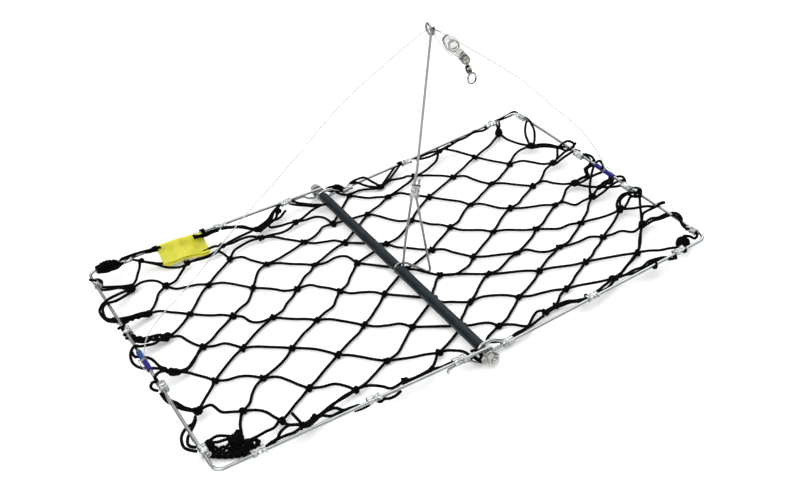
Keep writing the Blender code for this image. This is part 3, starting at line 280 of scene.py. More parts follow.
RIGHT_SLACK = (
    (-1.5, -3, -1), (0, -1, -0.5), (-1, -3.5, -4.5), (-4, -4, -2), (-3, -2, -1.5), (-2, -1.5, -1),
    (1.5, 1, 0), (2.5, 2, 2), (-4, -2.5, -1.5), (3, 2, 1.5), (1, 3.5, 4), (-1, -1.5, -2), (7, 5, 2.5),
    (1.5, 1.5, 1), (0, -1, 1), (0.5, 0, -0.5), (4, 2, 1), (-8.5, -9, -7), (1, 1, 0.5), (-0.5, 0.5, 1),
    (5.5, 6, 4.5), (-2.5, -2, -1.5), (1.5, 2, 2), (0, 0, 0), (0.5, 1.5, 2.5), (-3, -1.5, 0), (-2.5, -1, 1),
    (-0.5, -0.5, -1), (-1, -0.5, 0), (-3.5, -2, 0), (0, 1, 1.5), (-1.5, -2, -2), (-1, 0.5, 1.5), (0, 0, 0.5),
    (6, 3, 0.5), (-1.5, -1, -1), (3.5, 1.5, -1), (0, 1, 1), (2, 1, -0.5), (-1.5, -2, -2), (3, -3, -4.5),
    (0.5, 1, 0), (1, 0, -1), (-1, 0, -0.5), (1.5, 1, 0), (0.5, 0.5, 0.5), (-2.5, -2, -1.5), (2.5, 1.5, 0.5),
    (-3, -1.5, -1), (-1, 0, 1.5), (-2, -1, -0.5), (-2.5, -4.5, 0), (-4, -3, -2), (-0.5, 1.5, 4.5),
    (-2, -1, -1.5), (1, 1.5, 1.5), (-3, -2, -2), (4.5, 7, 6.5), (7, 4.5, 0.5), (-1.5, 0.5, 3), (9, 4.5, 1),
    (-2, 0.5, 3), (3, -5, -1.5), (-0.5, -1, 0.5), (1, 0.5, 0), (0, -0.5, -0.5), (1, 2.5, -4), (-1, 0, 0),
)
SLACK = {-1: LEFT_SLACK, 1: RIGHT_SLACK}
# Knots in mm where the edge's twine meets
LEFT_EDGE_KNOTS = (
    (-200, 149, 14), (-234, -16, 10), (-170, -141, 11), (-76, -144, 11), (-234, -76, 12), (-52, 147, 12),
)
RIGHT_EDGE_KNOTS = (
    (61, 132, 5), (76, -135, 4), (193, -143, 12), (216, 137, 11), (144, 147, 10), (62, 133, 4),
    (88, -134, 5), (115, -144, 8), (223, 11, 8), (248, -16, 16), (96, 150, 11),
)
EDGE_KNOTS = {-1: LEFT_EDGE_KNOTS, 1: RIGHT_EDGE_KNOTS}
# Twine along the net's edges in mm: loops round the wire and doubled strands; points marked in the
# photo, which a program turned to mm
LEFT_EDGE_TWINE = (
    ((-233, 144, 21), (-225, 142, 21), (-219, 147, 20), (-215, 152, 18)),
    ((-247, 135, 21), (-251, 138, 21), (-252, 143, 19)),
    ((-219, 150, 18), (-217, 153, 21), (-212, 154, 21), (-200, 155, 20), (-189, 153, 20), (-180, 152, 20),
     (-177, 151, 19)),
    ((-212, 151, 21), (-204, 154, 19), (-195, 155, 18), (-188, 152, 18), (-180, 151, 18)),
    ((-213, 154, 18), (-207, 154, 16), (-200, 149, 14)),
    ((-200, 149, 14), (-192, 147, 10), (-182, 144, 6), (-167, 141, 4), (-151, 140, 4), (-138, 139, 5),
     (-128, 137, 7), (-121, 132, 7)),
    ((-200, 149, 14), (-189, 142, 10), (-180, 135, 6), (-170, 129, 5), (-162, 127, 6)),
    ((-161, 128, 7), (-152, 128, 6), (-142, 126, 6), (-131, 127, 6), (-125, 130, 7), (-121, 132, 7)),
    ((-144, 146, 19), (-139, 145, 19), (-133, 144, 18), (-125, 145, 18), (-118, 146, 17)),
    ((-143, 150, 19), (-138, 145, 20), (-130, 145, 20), (-122, 146, 19), (-116, 148, 17)),
    ((-112, 150, 16), (-105, 151, 13), (-97, 148, 12), (-91, 145, 11), (-87, 140, 10), (-81, 136, 8)),
    ((-114, 148, 16), (-106, 148, 14), (-97, 146, 12), (-90, 142, 10), (-86, 138, 9), (-81, 134, 8)),
    ((-84, 139, 9), (-82, 135, 8), (-75, 137, 8), (-68, 139, 9), (-62, 142, 10), (-56, 148, 12),
     (-53, 151, 12)),
    ((-84, 135, 8), (-79, 134, 8), (-72, 137, 8), (-65, 139, 9), (-59, 140, 9), (-53, 146, 11),
     (-49, 152, 13), (-47, 152, 15)),
    ((-79, 138, 9), (-73, 140, 9), (-65, 143, 10), (-59, 147, 12), (-54, 151, 12), (-48, 154, 13)),
    ((-80, 132, 7), (-72, 135, 8), (-63, 138, 9), (-57, 141, 10), (-53, 147, 12), (-47, 154, 13)),
    ((-64, 141, 10), (-59, 139, 9), (-53, 140, 9), (-48, 143, 10), (-44, 145, 11)),
    ((-86, 137, 8), (-96, 136, 8), (-105, 135, 8), (-114, 133, 8), (-121, 132, 7)),
    ((-68, 139, 9), (-68, 134, 7), (-65, 131, 7), (-57, 130, 6), (-48, 129, 6), (-42, 127, 6)),
    ((-37, 152, 15), (-32, 153, 13), (-26, 148, 11), (-16, 141, 9), (-11, 131, 12)),
    ((-36, 153, 12), (-31, 148, 11), (-24, 143, 10), (-15, 138, 8), (-10, 130, 12)),
    ((-42, 127, 6), (-33, 129, 6), (-20, 134, 7), (-11, 131, 11), (-5, 131, 10)),
    ((-249, 135, 21), (-248, 132, 16), (-240, 128, 14), (-231, 130, 9), (-222, 128, 7)),
    ((-250, 132, 20), (-249, 127, 16), (-241, 124, 14), (-231, 126, 10), (-224, 123, 7)),
    ((-246, 136, 21), (-244, 131, 21), (-245, 132, 15)),
    ((-200, 150, 14), (-204, 142, 12), (-209, 136, 9), (-213, 130, 8), (-221, 124, 6)),
    ((-224, 122, 7), (-236, 114, 12), (-246, 102, 20), (-252, 98, 21), (-256, 96, 20), (-260, 90, 19),
     (-260, 79, 19), (-257, 72, 18), (-251, 71, 16), (-243, 70, 16), (-230, 76, 9), (-221, 77, 6)),
    ((-225, 116, 7), (-235, 108, 11), (-244, 95, 20), (-251, 95, 21), (-256, 92, 20), (-258, 85, 19),
     (-258, 78, 18), (-253, 74, 17), (-248, 73, 16), (-238, 75, 12), (-227, 79, 8), (-218, 80, 5)),
    ((-252, 49, 21), (-248, 57, 20), (-242, 68, 14), (-233, 73, 10), (-224, 74, 7)),
    ((-254, 56, 19), (-252, 54, 21), (-251, 50, 21)),
    ((-253, 44, 20), (-249, 44, 16), (-246, 41, 16), (-241, 37, 14), (-232, 39, 10), (-224, 41, 7),
     (-218, 38, 5)),
    ((-253, 40, 19), (-250, 38, 17), (-246, 33, 16), (-240, 32, 13), (-234, 34, 11), (-228, 34, 8),
     (-221, 31, 6)),
    ((-254, 20, 20), (-250, 23, 20), (-246, 25, 16), (-239, 26, 13), (-232, 28, 10), (-226, 32, 8),
     (-221, 31, 6)),
    ((-248, 22, 20), (-253, 19, 22), (-257, 15, 20), (-259, 7, 19), (-258, 0, 18), (-254, -4, 16),
     (-250, -8, 17), (-243, -11, 15), (-235, -14, 11)),
    ((-255, 17, 20), (-255, 11, 19), (-252, 11, 17), (-248, 9, 16), (-244, 6, 15), (-242, 0, 15),
     (-240, -7, 13), (-236, -12, 12)),
    ((-234, -16, 11), (-240, -16, 14), (-245, -18, 16), (-250, -26, 20), (-251, -33, 21), (-254, -31, 20),
     (-257, -34, 19), (-256, -38, 18), (-253, -39, 16)),
    ((-253, -46, 19), (-252, -50, 17), (-249, -57, 16), (-244, -64, 15), (-240, -71, 13), (-233, -72, 10)),
    ((-253, -48, 19), (-252, -55, 17), (-249, -62, 16), (-245, -69, 15), (-240, -74, 14), (-234, -76, 11)),
    ((-252, -49, 20), (-249, -55, 16), (-245, -61, 15), (-243, -68, 15), (-238, -71, 12)),
    ((-238, -82, 12), (-242, -91, 15), (-250, -95, 17), (-256, -102, 19), (-259, -108, 19), (-260, -116, 19),
     (-257, -123, 20), (-253, -126, 19)),
    ((-239, -86, 13), (-243, -93, 15), (-248, -100, 17), (-253, -105, 16), (-256, -114, 18),
     (-254, -121, 20), (-250, -122, 19)),
    ((-240, -87, 14), (-245, -94, 15), (-249, -102, 17), (-250, -109, 16), (-249, -119, 16)),
    ((-201, -89, 3), (-205, -96, 3), (-209, -104, 4), (-212, -113, 4), (-215, -122, 5)),
    ((-180, -118, 4), (-188, -125, 6), (-195, -125, 6), (-204, -126, 6), (-213, -138, 18)),
    ((-207, -152, 18), (-201, -151, 19), (-195, -150, 19), (-188, -137, 10), (-181, -132, 8),
     (-176, -132, 8), (-170, -139, 10)),
    ((-208, -153, 18), (-201, -152, 18), (-195, -150, 18), (-188, -150, 18), (-180, -149, 16),
     (-171, -143, 12)),
    ((-168, -117, 4), (-168, -127, 6), (-169, -139, 10)),
    ((-170, -139, 10), (-167, -143, 12), (-161, -140, 10), (-155, -138, 10)),
    ((-172, -149, 17), (-167, -150, 17), (-161, -148, 17), (-154, -146, 17), (-148, -151, 17),
     (-140, -151, 17), (-131, -152, 17), (-124, -152, 16)),
    ((-155, -138, 10), (-149, -135, 8), (-143, -135, 8), (-138, -138, 10), (-135, -147, 13),
     (-128, -148, 13), (-123, -152, 16)),
    ((-153, -138, 10), (-147, -134, 8), (-137, -130, 7), (-128, -128, 6), (-120, -127, 6), (-112, -125, 6)),
    ((-129, -155, 15), (-123, -155, 14), (-117, -155, 14), (-113, -154, 14), (-109, -153, 14),
     (-106, -157, 14), (-102, -156, 14), (-98, -158, 14), (-92, -158, 14), (-86, -155, 13)),
    ((-112, -125, 6), (-103, -126, 6), (-97, -131, 7), (-93, -138, 9), (-91, -146, 12), (-86, -147, 12),
     (-80, -145, 11), (-76, -144, 11)),
    ((-82, -151, 16), (-74, -151, 16), (-65, -152, 16), (-56, -151, 15), (-51, -150, 15), (-44, -152, 15),
     (-37, -152, 15), (-30, -153, 15)),
    ((-76, -143, 10), (-69, -147, 12), (-60, -146, 11), (-52, -145, 11), (-48, -142, 10)),
    ((-33, -127, 6), (-40, -135, 7), (-49, -144, 10)),
    ((-33, -127, 6), (-25, -128, 6), (-19, -132, 6), (-15, -139, 8), (-15, -148, 11), (-16, -155, 12)),
    ((-12, -148, 13), (-7, -149, 12), (-7, -156, 11), (-12, -159, 11), (-13, -153, 11)),
    ((-12, -153, 11), (-11, -159, 10), (-12, -162, 11)),
    ((-233, -16, 10), (-224, -19, 7), (-216, -14, 5), (-209, -7, 4), (-202, 2, 3), (-196, 7, 3)),
)
RIGHT_EDGE_TWINE = (
    ((8, -138, 5), (11, -140, 6), (15, -143, 6), (19, -146, 7), (24, -146, 6)),
    ((34, -125, 3), (25, -128, 3), (16, -132, 3), (11, -137, 3)),
    ((30, -147, 6), (40, -142, 3), (47, -142, 3), (53, -141, 4), (60, -136, 4), (66, -132, 4), (72, -130, 4),
     (77, -133, 4)),
    ((30, -149, 6), (38, -148, 7), (46, -146, 7), (56, -142, 4), (64, -140, 4), (72, -138, 4)),
    ((34, -125, 3), (40, -128, 3), (45, -132, 3), (49, -137, 3), (53, -142, 4)),
    ((76, -134, 4), (84, -134, 5), (93, -134, 5), (100, -136, 6), (107, -140, 6), (114, -148, 11)),
    ((75, -138, 5), (85, -136, 5), (93, -137, 5), (101, -139, 6), (108, -144, 7), (112, -150, 11)),
    ((111, -119, 4), (101, -124, 4), (95, -129, 4), (88, -134, 5)),
    ((121, -147, 12), (131, -142, 8), (138, -140, 8), (146, -138, 8), (154, -135, 8)),
    ((121, -150, 12), (131, -146, 9), (139, -145, 9), (146, -142, 9), (153, -138, 8)),
    ((152, -136, 8), (160, -139, 9), (168, -143, 10), (175, -147, 13), (183, -146, 13), (191, -143, 12),
     (196, -144, 12)),
    ((156, -138, 8), (164, -140, 9), (173, -140, 10), (182, -141, 10), (192, -138, 10), (198, -140, 11),
     (204, -144, 13), (208, -149, 14), (211, -154, 17)),
    ((188, -146, 14), (194, -147, 14), (202, -148, 14), (205, -153, 16), (210, -156, 17)),
    ((197, -116, 5), (185, -123, 6), (173, -129, 7), (160, -136, 8)),
    ((189, -148, 15), (185, -153, 15), (187, -154, 16), (190, -150, 17)),
    ((241, -131, 14), (241, -139, 18), (242, -144, 18), (246, -143, 19), (248, -139, 20), (250, -134, 19)),
    ((229, -145, 15), (221, -151, 17), (222, -154, 18), (225, -149, 19)),
    ((197, -116, 5), (208, -122, 6), (214, -129, 8), (221, -134, 10), (226, -142, 14)),
    ((249, -130, 19), (247, -127, 20), (248, -120, 20), (253, -114, 20), (255, -107, 20), (253, -103, 20),
     (249, -97, 17), (242, -94, 14), (238, -89, 12), (231, -88, 9)),
    ((248, -133, 19), (244, -130, 21), (245, -124, 21), (249, -116, 21), (249, -110, 22), (250, -101, 17),
     (242, -98, 15), (237, -93, 12), (231, -91, 9), (227, -90, 8)),
    ((252, -54, 22), (250, -58, 17), (241, -69, 16), (235, -78, 11), (228, -87, 8)),
    ((229, -86, 9), (236, -79, 12), (241, -79, 14), (247, -84, 19), (250, -86, 22), (256, -87, 22)),
    ((228, -54, 8), (236, -64, 11), (244, -73, 15), (249, -80, 17), (252, -85, 22), (257, -85, 21)),
    ((228, -88, 8), (220, -95, 6), (212, -104, 4), (202, -113, 4), (197, -116, 5)),
    ((256, -52, 19), (246, -57, 22), (246, -46, 16), (240, -43, 14), (234, -44, 10), (229, -49, 8),
     (227, -54, 8)),
    ((247, -60, 18), (242, -57, 19), (244, -46, 15), (236, -46, 12), (232, -50, 10), (229, -56, 8)),
    ((252, -54, 21), (242, -59, 21), (243, -52, 15), (237, -55, 12), (231, -57, 9)),
    ((240, -56, 20), (242, -61, 21), (248, -61, 21), (254, -54, 21), (253, -47, 20)),
    ((220, -21, 6), (225, -12, 7), (231, -4, 9), (238, 3, 13), (246, 10, 16), (252, 14, 18), (256, 12, 21),
     (251, 0, 23), (247, -3, 22)),
    ((249, -2, 22), (250, 0, 16), (242, 0, 16), (236, 4, 12), (230, 6, 9), (223, 10, 6)),
    ((223, -18, 6), (232, -15, 10), (241, -14, 14), (248, -16, 16), (255, -19, 18), (257, -24, 19),
     (252, -33, 20), (247, -32, 17), (241, -25, 14), (235, -15, 11), (229, -3, 8), (223, 9, 7)),
    ((222, -22, 6), (233, -23, 10), (242, -24, 15), (249, -26, 18), (251, -32, 22)),
    ((253, 35, 19), (254, 29, 21), (255, 23, 21), (253, 16, 20)),
    ((251, 33, 19), (252, 25, 20), (249, 18, 19), (245, 17, 16), (242, 18, 14), (239, 13, 13), (237, 9, 12),
     (231, 12, 9), (225, 12, 7)),
    ((253, 18, 20), (248, 14, 18), (244, 16, 15), (240, 12, 14), (238, 7, 12), (232, 10, 10), (226, 12, 7)),
    ((228, 54, 8), (235, 55, 11), (241, 55, 14), (247, 55, 16), (253, 51, 17), (254, 42, 19)),
    ((229, 50, 9), (236, 50, 12), (243, 49, 15), (250, 48, 17), (252, 40, 19)),
    ((245, 69, 15), (240, 62, 14), (235, 56, 11), (229, 53, 8)),
    ((230, 95, 9), (237, 88, 12), (242, 79, 14), (245, 67, 16), (250, 60, 17), (251, 51, 17)),
    ((228, 93, 8), (236, 85, 11), (241, 74, 14), (245, 62, 16), (246, 54, 16)),
    ((244, 67, 15), (248, 64, 20), (255, 65, 20), (258, 61, 20), (256, 54, 20), (249, 50, 20), (247, 56, 16)),
    ((248, 55, 19), (252, 52, 20), (258, 54, 22)),
    ((229, 94, 8), (233, 106, 10), (238, 117, 12), (244, 125, 15), (248, 128, 19)),
    ((230, 92, 9), (238, 100, 12), (245, 110, 16), (247, 117, 19), (250, 127, 20), (250, 138, 19)),
    ((250, 147, 19), (248, 152, 20), (239, 152, 19), (229, 150, 19), (221, 151, 18)),
    ((248, 150, 19), (239, 150, 18), (227, 150, 18), (218, 152, 17)),
    ((222, 152, 17), (222, 149, 14), (221.5, 146, 10)),
    ((226, 152, 18), (225, 148, 14), (222.5, 145.5, 10)),
    ((221, 144, 5), (211.3, 137.4, 5), (199, 130.7, 4), (185.9, 125.8, 4), (172.6, 119.8, 4)),
    ((222, 144, 6), (220.5, 134.9, 6), (221, 124.9, 6), (225.2, 108.9, 7), (229.4, 96.5, 9)),
    ((219, 151, 17), (209, 149, 17), (202, 151, 16), (191, 150, 16), (181, 151, 14), (171, 152, 14),
     (161, 149, 13)),
    ((216, 150, 16), (202, 145, 16), (191, 148, 16), (178, 146, 15), (168, 147, 14), (158, 144, 14),
     (148, 143, 13)),
    ((152, 146, 10), (159, 138, 9), (166, 129, 7), (173, 121, 5)),
    ((156, 145, 14), (147, 143, 14), (139, 143, 14), (131, 146, 13), (120, 146, 13), (113, 149, 11)),
    ((150, 144, 13), (139, 141, 13), (130, 141, 12), (122, 142, 12), (114, 146, 11)),
    ((143, 146, 10), (134, 137, 7), (126, 133, 6), (114, 129, 5), (99, 127, 4)),
    ((62, 133, 4), (77, 144, 5), (88, 149, 9), (92, 150, 10)),
    ((63, 132, 4), (76, 139, 5), (88, 146, 7), (95, 149, 10)),
    ((62, 133, 4), (59, 138, 6), (54, 143, 10), (49, 146, 14), (41, 150, 12), (36, 154, 8)),
    ((60, 133, 4), (57, 134, 5), (50, 139, 6), (43, 146, 9), (40, 149, 10), (37, 153, 7)),
    ((62, 133, 4), (69, 135, 4), (75, 136, 5), (82, 134, 5), (89, 132, 5), (94, 132, 5), (100, 129, 4)),
    ((60, 130, 4), (51, 136, 4), (41, 142, 3), (33, 142, 3), (27, 142, 3)),
    ((27, 142, 3), (22, 147, 3), (17, 150, 6), (14, 158, 7), (10, 159, 7)),
    ((11, 161, 7), (14, 159, 9), (19, 155, 10), (24, 154, 8), (19, 150, 7), (14, 154, 6), (11, 158, 7)),
    ((10, 158, 6), (14, 156, 10), (19, 151, 10), (22, 148, 7)),
    ((24, 153, 7), (28, 150, 7), (36, 153, 8)),
)
EDGE_TWINE = {-1: LEFT_EDGE_TWINE, 1: RIGHT_EDGE_TWINE}


# Small helpers for objects, materials and node trees


def in_scene(name, data):
    """A new object in the scene."""
    made = bpy.data.objects.new(name, data)
    bpy.context.scene.collection.objects.link(made)
    return made


def place_camera():
    """A camera with the photograph's lens and viewing angle."""
    lens = bpy.data.cameras.new("camera")
    lens.lens = 50.1719
    lens.sensor_width = 36.0
    lens.sensor_fit = "HORIZONTAL"
    lens.clip_start = 0.01
    lens.clip_end = 20.0
    camera = in_scene("camera", lens)
    camera.location = (-0.38829, -0.75185, 0.64423)
    camera.rotation_euler = [math.radians(angle) for angle in (53.7294, 4.3725, -30.9505)]
    bpy.context.scene.camera = camera


place_camera()


def linear(code):
    """An sRGB hex colour as linear RGBA."""
    shares = [int(code[at : at + 2], 16) / 255 for at in (1, 3, 5)]
    return (*(c / 12.92 if c <= 0.04045 else ((c + 0.055) / 1.055) ** 2.4 for c in shares), 1.0)


def add(tree, kind, sockets=None, **settings):
    """Adds one node with its settings; a socket's value is set, or linked where it is another socket."""
    made = tree.nodes.new(kind)
    for name, value in settings.items():
        setattr(made, name, value)
    for name, value in (sockets or {}).items():
        if isinstance(value, bpy.types.NodeSocket):
            tree.links.new(value, made.inputs[name])
        else:
            made.inputs[name].default_value = value
    return made


def result(tree, kind, sockets=None, **settings):
    """The first output of a new node."""
    return add(tree, kind, sockets, **settings).outputs[0]


def worked(tree, operation, *values):
    return result(tree, "ShaderNodeMath", dict(enumerate(values)), operation=operation)


def ranged(tree, value, start, end, low=0.0, high=1.0):
    """A value that runs from start to end, brought to run from low to high."""
    sockets = {"Value": value, "From Min": start, "From Max": end, "To Min": low, "To Max": high}
    return result(tree, "ShaderNodeMapRange", sockets)


def mixed(tree, share, deep, pale):
    """A colour between two, each of them an sRGB code or a socket."""
    deep, pale = (linear(end) if isinstance(end, str) else end for end in (deep, pale))
    return add(tree, "ShaderNodeMix", {0: share, 6: deep, 7: pale}, data_type="RGBA").outputs[2]


def noise(tree, at, scale, detail, distortion=0.0):
    sockets = {"Vector": at, "Scale": scale, "Detail": detail, "Distortion": distortion}
    return add(tree, "ShaderNodeTexNoise", sockets).outputs["Fac"]


def bands(tree, at, direction, scale, distortion=0.0, detail=2.0, detail_scale=1.0):
    sockets = {"Vector": at, "Scale": scale, "Detail": detail, "Detail Scale": detail_scale}
    sockets["Distortion"] = distortion
    return add(tree, "ShaderNodeTexWave", sockets, bands_direction=direction).outputs["Fac"]


def own_place(tree):
    return add(tree, "ShaderNodeTexCoord").outputs["Object"]


def laid_place(tree):
    """A place on swept wire or twine: the spot on its section, and how far along it lies."""
    along_it = add(tree, "ShaderNodeAttribute", attribute_name="lay").outputs["Fac"]
    section = add(tree, "ShaderNodeAttribute", attribute_name="section").outputs["Vector"]
    run = result(tree, "ShaderNodeCombineXYZ", {"Z": along_it})
    return result(tree, "ShaderNodeVectorMath", {0: section, 1: run}, operation="ADD")


def stretched(tree, at, scale):
    return result(tree, "ShaderNodeMapping", {"Vector": at, "Scale": scale})


def finish_of(name, colour, **sockets):
    """A material and its tree, with the values that are the same all over."""
    made = bpy.data.materials.new(name)
    made.use_nodes = True
    inputs = made.node_tree.nodes["Principled BSDF"].inputs
    inputs["Base Color"].default_value = linear(colour)
    for socket, value in sockets.items():
        inputs[socket.replace("_", " ")].default_value = value
    return made, made.node_tree


def driven(made, colour=None, rough=None, relief=None):
    """The same material with its colour, roughness and relief (height, strength, depth in metres) driven."""
    tree = made.node_tree
    inputs = tree.nodes["Principled BSDF"].inputs
    if relief:
        height, strength, depth = relief
        bump = result(tree, "ShaderNodeBump", {"Height": height, "Strength": strength, "Distance": depth})
        tree.links.new(bump, inputs["Normal"])
    for name, value in (("Base Color", colour), ("Roughness", rough)):
        if value:
            tree.links.new(value, inputs[name])
    return made


# Materials, one for each real finish


def drawn_stainless(name, deep, pale):
    """Drawn stainless wire: bright, with fine die lines along it and cloudy handling marks."""
    made, tree = finish_of(name, pale, Metallic=1.0, Roughness=0.3)
    at = laid_place(tree)
    # Die lines are 0.15 mm apart and some 30 mm long, clouds of handling marks are about 12 mm across
    lines = noise(tree, stretched(tree, at, (6500.0, 6500.0, 33.0)), 1.0, 3.0)
    clouds = noise(tree, at, 85.0, 4.0)
    rough = ranged(tree, clouds, 0.3, 0.7, 0.14, 0.34)
    return driven(made, mixed(tree, clouds, deep, pale), rough, (lines, 0.25, 0.00004))


def turned_steel():
    """Plain steel bar, nuts and washers: turned rings, a little duller than the wire, with grey pits."""
    made, tree = finish_of("turned_steel_hardware", "#b2b0a8", Metallic=1.0, Roughness=0.3)
    at = own_place(tree)
    # Turning marks lie 0.3 mm apart along the rod
    marks = bands(tree, at, "Y", 1050.0, 1.5, 1.0)
    clouds = noise(tree, at, 260.0, 5.0)
    rough = ranged(tree, clouds, 0.3, 0.7, 0.22, 0.45)
    return driven(made, mixed(tree, clouds, "#90918d", "#cacbc5"), rough, (marks, 0.2, 0.00005))


def pressed_aluminium():
    """Pressed aluminium clamps: pale metal with soft tool dents and a patchy, milky oxide."""
    made, tree = finish_of("pressed_aluminium", "#c9ccce", Metallic=1.0, Roughness=0.36)
    at = own_place(tree)
    # Press dents are 2 to 3 mm across, scuffs are some 0.5 mm across
    dents = noise(tree, at, 420.0, 1.0)
    scuffs = result(tree, "ShaderNodeTexVoronoi", {"Vector": at, "Scale": 1900.0}, feature="F1")
    patches = ranged(tree, dents, 0.32, 0.62)
    rough = ranged(tree, scuffs, 0.0, 0.8, 0.28, 0.5)
    return driven(made, mixed(tree, patches, "#868a8d", "#d0d3d4"), rough, (dents, 0.6, 0.0004))


def laid_twine():
    """Black three-strand twine: matt tarred fibre with fine yarns round it, greyer on their ridges: worn tar
    and painted highlight.
    """
    made, tree = finish_of("tarred_black_twine", "#070708", Roughness=0.85, Specular_IOR_Level=0.06)
    at = laid_place(tree)
    # Yarns are 0.25 mm thick and follow the strand; the tar has worn thin in patches some 15 mm long
    yarns = noise(tree, stretched(tree, at, (4000.0, 4000.0, 400.0)), 1.0, 2.0)
    wear = noise(tree, at, 65.0, 3.0)
    # Paler where yarn ridges meet worn patches: worn tar, and a painted highlight on the ridges
    share = ranged(tree, worked(tree, "MULTIPLY", yarns, wear), 0.2, 0.45)
    return driven(made, mixed(tree, share, "#030304", "#0f0f11"), relief=(yarns, 0.7, 0.00015))


def extruded_tube():
    """Dark polyethylene tube, extruded: satin, with faint draw lines along it and rubbed, paler patches."""
    made, tree = finish_of("extruded_dark_tube", "#0b1a20", Roughness=0.38, Specular_IOR_Level=0.25)
    at = own_place(tree)
    # Draw lines are 0.4 mm apart and run along Y, the length of the tube; rubbed patches are some 8 mm across
    lines = noise(tree, stretched(tree, at, (2500.0, 12.0, 2500.0)), 1.0, 2.0)
    rubs = noise(tree, at, 120.0, 6.0)
    colour = mixed(tree, ranged(tree, rubs, 0.45, 0.75), "#07141a", "#14252c")
    return driven(made, colour, ranged(tree, rubs, 0.3, 0.7, 0.34, 0.55), (lines, 0.3, 0.0001))


def blue_sleeving(name, deep, pale):
    """Soft blue PVC sleeving: glossy, a little cloudy, creased where it was pushed over the wire."""
    made, tree = finish_of(name, deep, Roughness=0.32, Specular_IOR_Level=0.25, Coat_Weight=0.05)
    at = own_place(tree)
    # Creases are 2 mm apart across the sleeve
    creases = bands(tree, at, "Y", 150.0, 6.0, 2.0, 2.0)
    colour = mixed(tree, noise(tree, at, 300.0, 3.0), deep, pale)
    return driven(made, colour, relief=(creases, 0.4, 0.0003))


def nylon_line():
    """Clear nylon monofilament: smooth and glassy, milky where it has been bent."""
    made, tree = finish_of("clear_nylon_line", "#dfe3e6", Roughness=0.18, IOR=1.53, Transmission_Weight=0.72)
    # Milky stretches are some 10 mm long
    milk = noise(tree, own_place(tree), 100.0, 2.0)
    return driven(made, mixed(tree, milk, "#b8bcbf", "#dcdfe1"), ranged(tree, milk, 0.3, 0.7, 0.08, 0.35))


def clear_polycarbonate(name, deep, pale, clearness):
    """Clear polycarbonate, injection moulded: greyish, with flow lines and a faint orange peel."""
    made, tree = finish_of(name, pale, Roughness=0.08, IOR=1.58, Transmission_Weight=clearness)
    at = own_place(tree)
    # Flow lines are about 1.5 mm wide, the orange peel is 0.4 mm across
    flow = noise(tree, at, 330.0, 3.0, 1.2)
    peel = noise(tree, at, 2400.0, 1.0)
    rough = ranged(tree, flow, 0.3, 0.7, 0.03, 0.12)
    return driven(made, mixed(tree, flow, deep, pale), rough, (peel, 0.3, 0.0001))


def nickel_plate():
    """Nickel plate over brass: mirror bright, with broad dark patches of tarnish and painted dark reflection,
    and dull specks of salt.
    """
    made, tree = finish_of("bright_nickel_plate", "#c2bba9", Metallic=1.0, Roughness=0.12)
    at = own_place(tree)
    # Salt specks are some 0.3 mm across; tarnish and painted dark reflection lie in patches of 3 mm
    specks = ranged(tree, noise(tree, at, 1600.0, 3.0), 0.52, 0.7)
    tarnish_and_painted_reflection = ranged(tree, noise(tree, at, 330.0, 1.0), 0.45, 0.55)
    colour = mixed(tree, specks, mixed(tree, tarnish_and_painted_reflection, "#a19f98", "#2f2d29"), "#3a3833")
    return driven(made, colour, ranged(tree, specks, 0.0, 1.0, 0.06, 0.35))


def coated_tag_cloth():
    """Yellow PVC-coated tag cloth: a fine woven grain under a satin film, with faint grime in the grain."""
    made, tree = finish_of("coated_yellow_tag", "#d8d41c", Roughness=0.42)
    at = result(tree, "ShaderNodeUVMap", uv_map="cut")
    # Threads are 0.6 mm apart, as the cut's own map is in metres; grime lies in clouds of about 10 mm
    weave = worked(tree, "MULTIPLY", bands(tree, at, "X", 520.0), bands(tree, at, "Y", 520.0))
    grime = ranged(tree, noise(tree, at, 100.0, 5.0), 0.4, 0.75)
    rough = ranged(tree, weave, 0.0, 1.0, 0.5, 0.34)
    return driven(made, mixed(tree, grime, "#cfcb26", "#b5b01c"), rough, (weave, 0.25, 0.0001))


def pale_floor():
    """Matt white acrylic sheet, faintly lit from behind as on a photographer's light table."""
    made, tree = finish_of(
        "backlit_white_acrylic", "#f4f4f3", Roughness=0.9, Emission_Color=(1.0, 1.0, 1.0, 1.0),
        Emission_Strength=0.14,
    )
    return driven(made, relief=(noise(tree, own_place(tree), 900.0, 2.0), 0.05, 0.0001))


WIRE_STEEL = drawn_stainless("drawn_stainless_wire", "#8d9391", "#c2c6c4")
MAST_STEEL = drawn_stainless("grey_stainless_wire", "#6f7371", "#a0a5a3")
HARDWARE = turned_steel()
CLAMP_METAL = pressed_aluminium()
TWINE = laid_twine()
TUBE = extruded_tube()
SLEEVING = blue_sleeving("violet_blue_sleeving", "#120e62", "#1e1876")
LIGHT_SLEEVING = blue_sleeving("light_blue_sleeving", "#153270", "#224a8c")
NYLON = nylon_line()
CLEAR = clear_polycarbonate("moulded_clear_polycarbonate", "#c3c3bd", "#e3e3df", 0.94)
# A darker, less clear copy of the housing's polycarbonate: painted shade for the dark outline along the
# housing's walls, rim and ribs
CLEAR_PAINTED_SHADE = clear_polycarbonate("clear_polycarbonate_painted_shade", "#66655f", "#8f8e87", 0.5)
NICKEL = nickel_plate()
TAG_CLOTH = coated_tag_cloth()


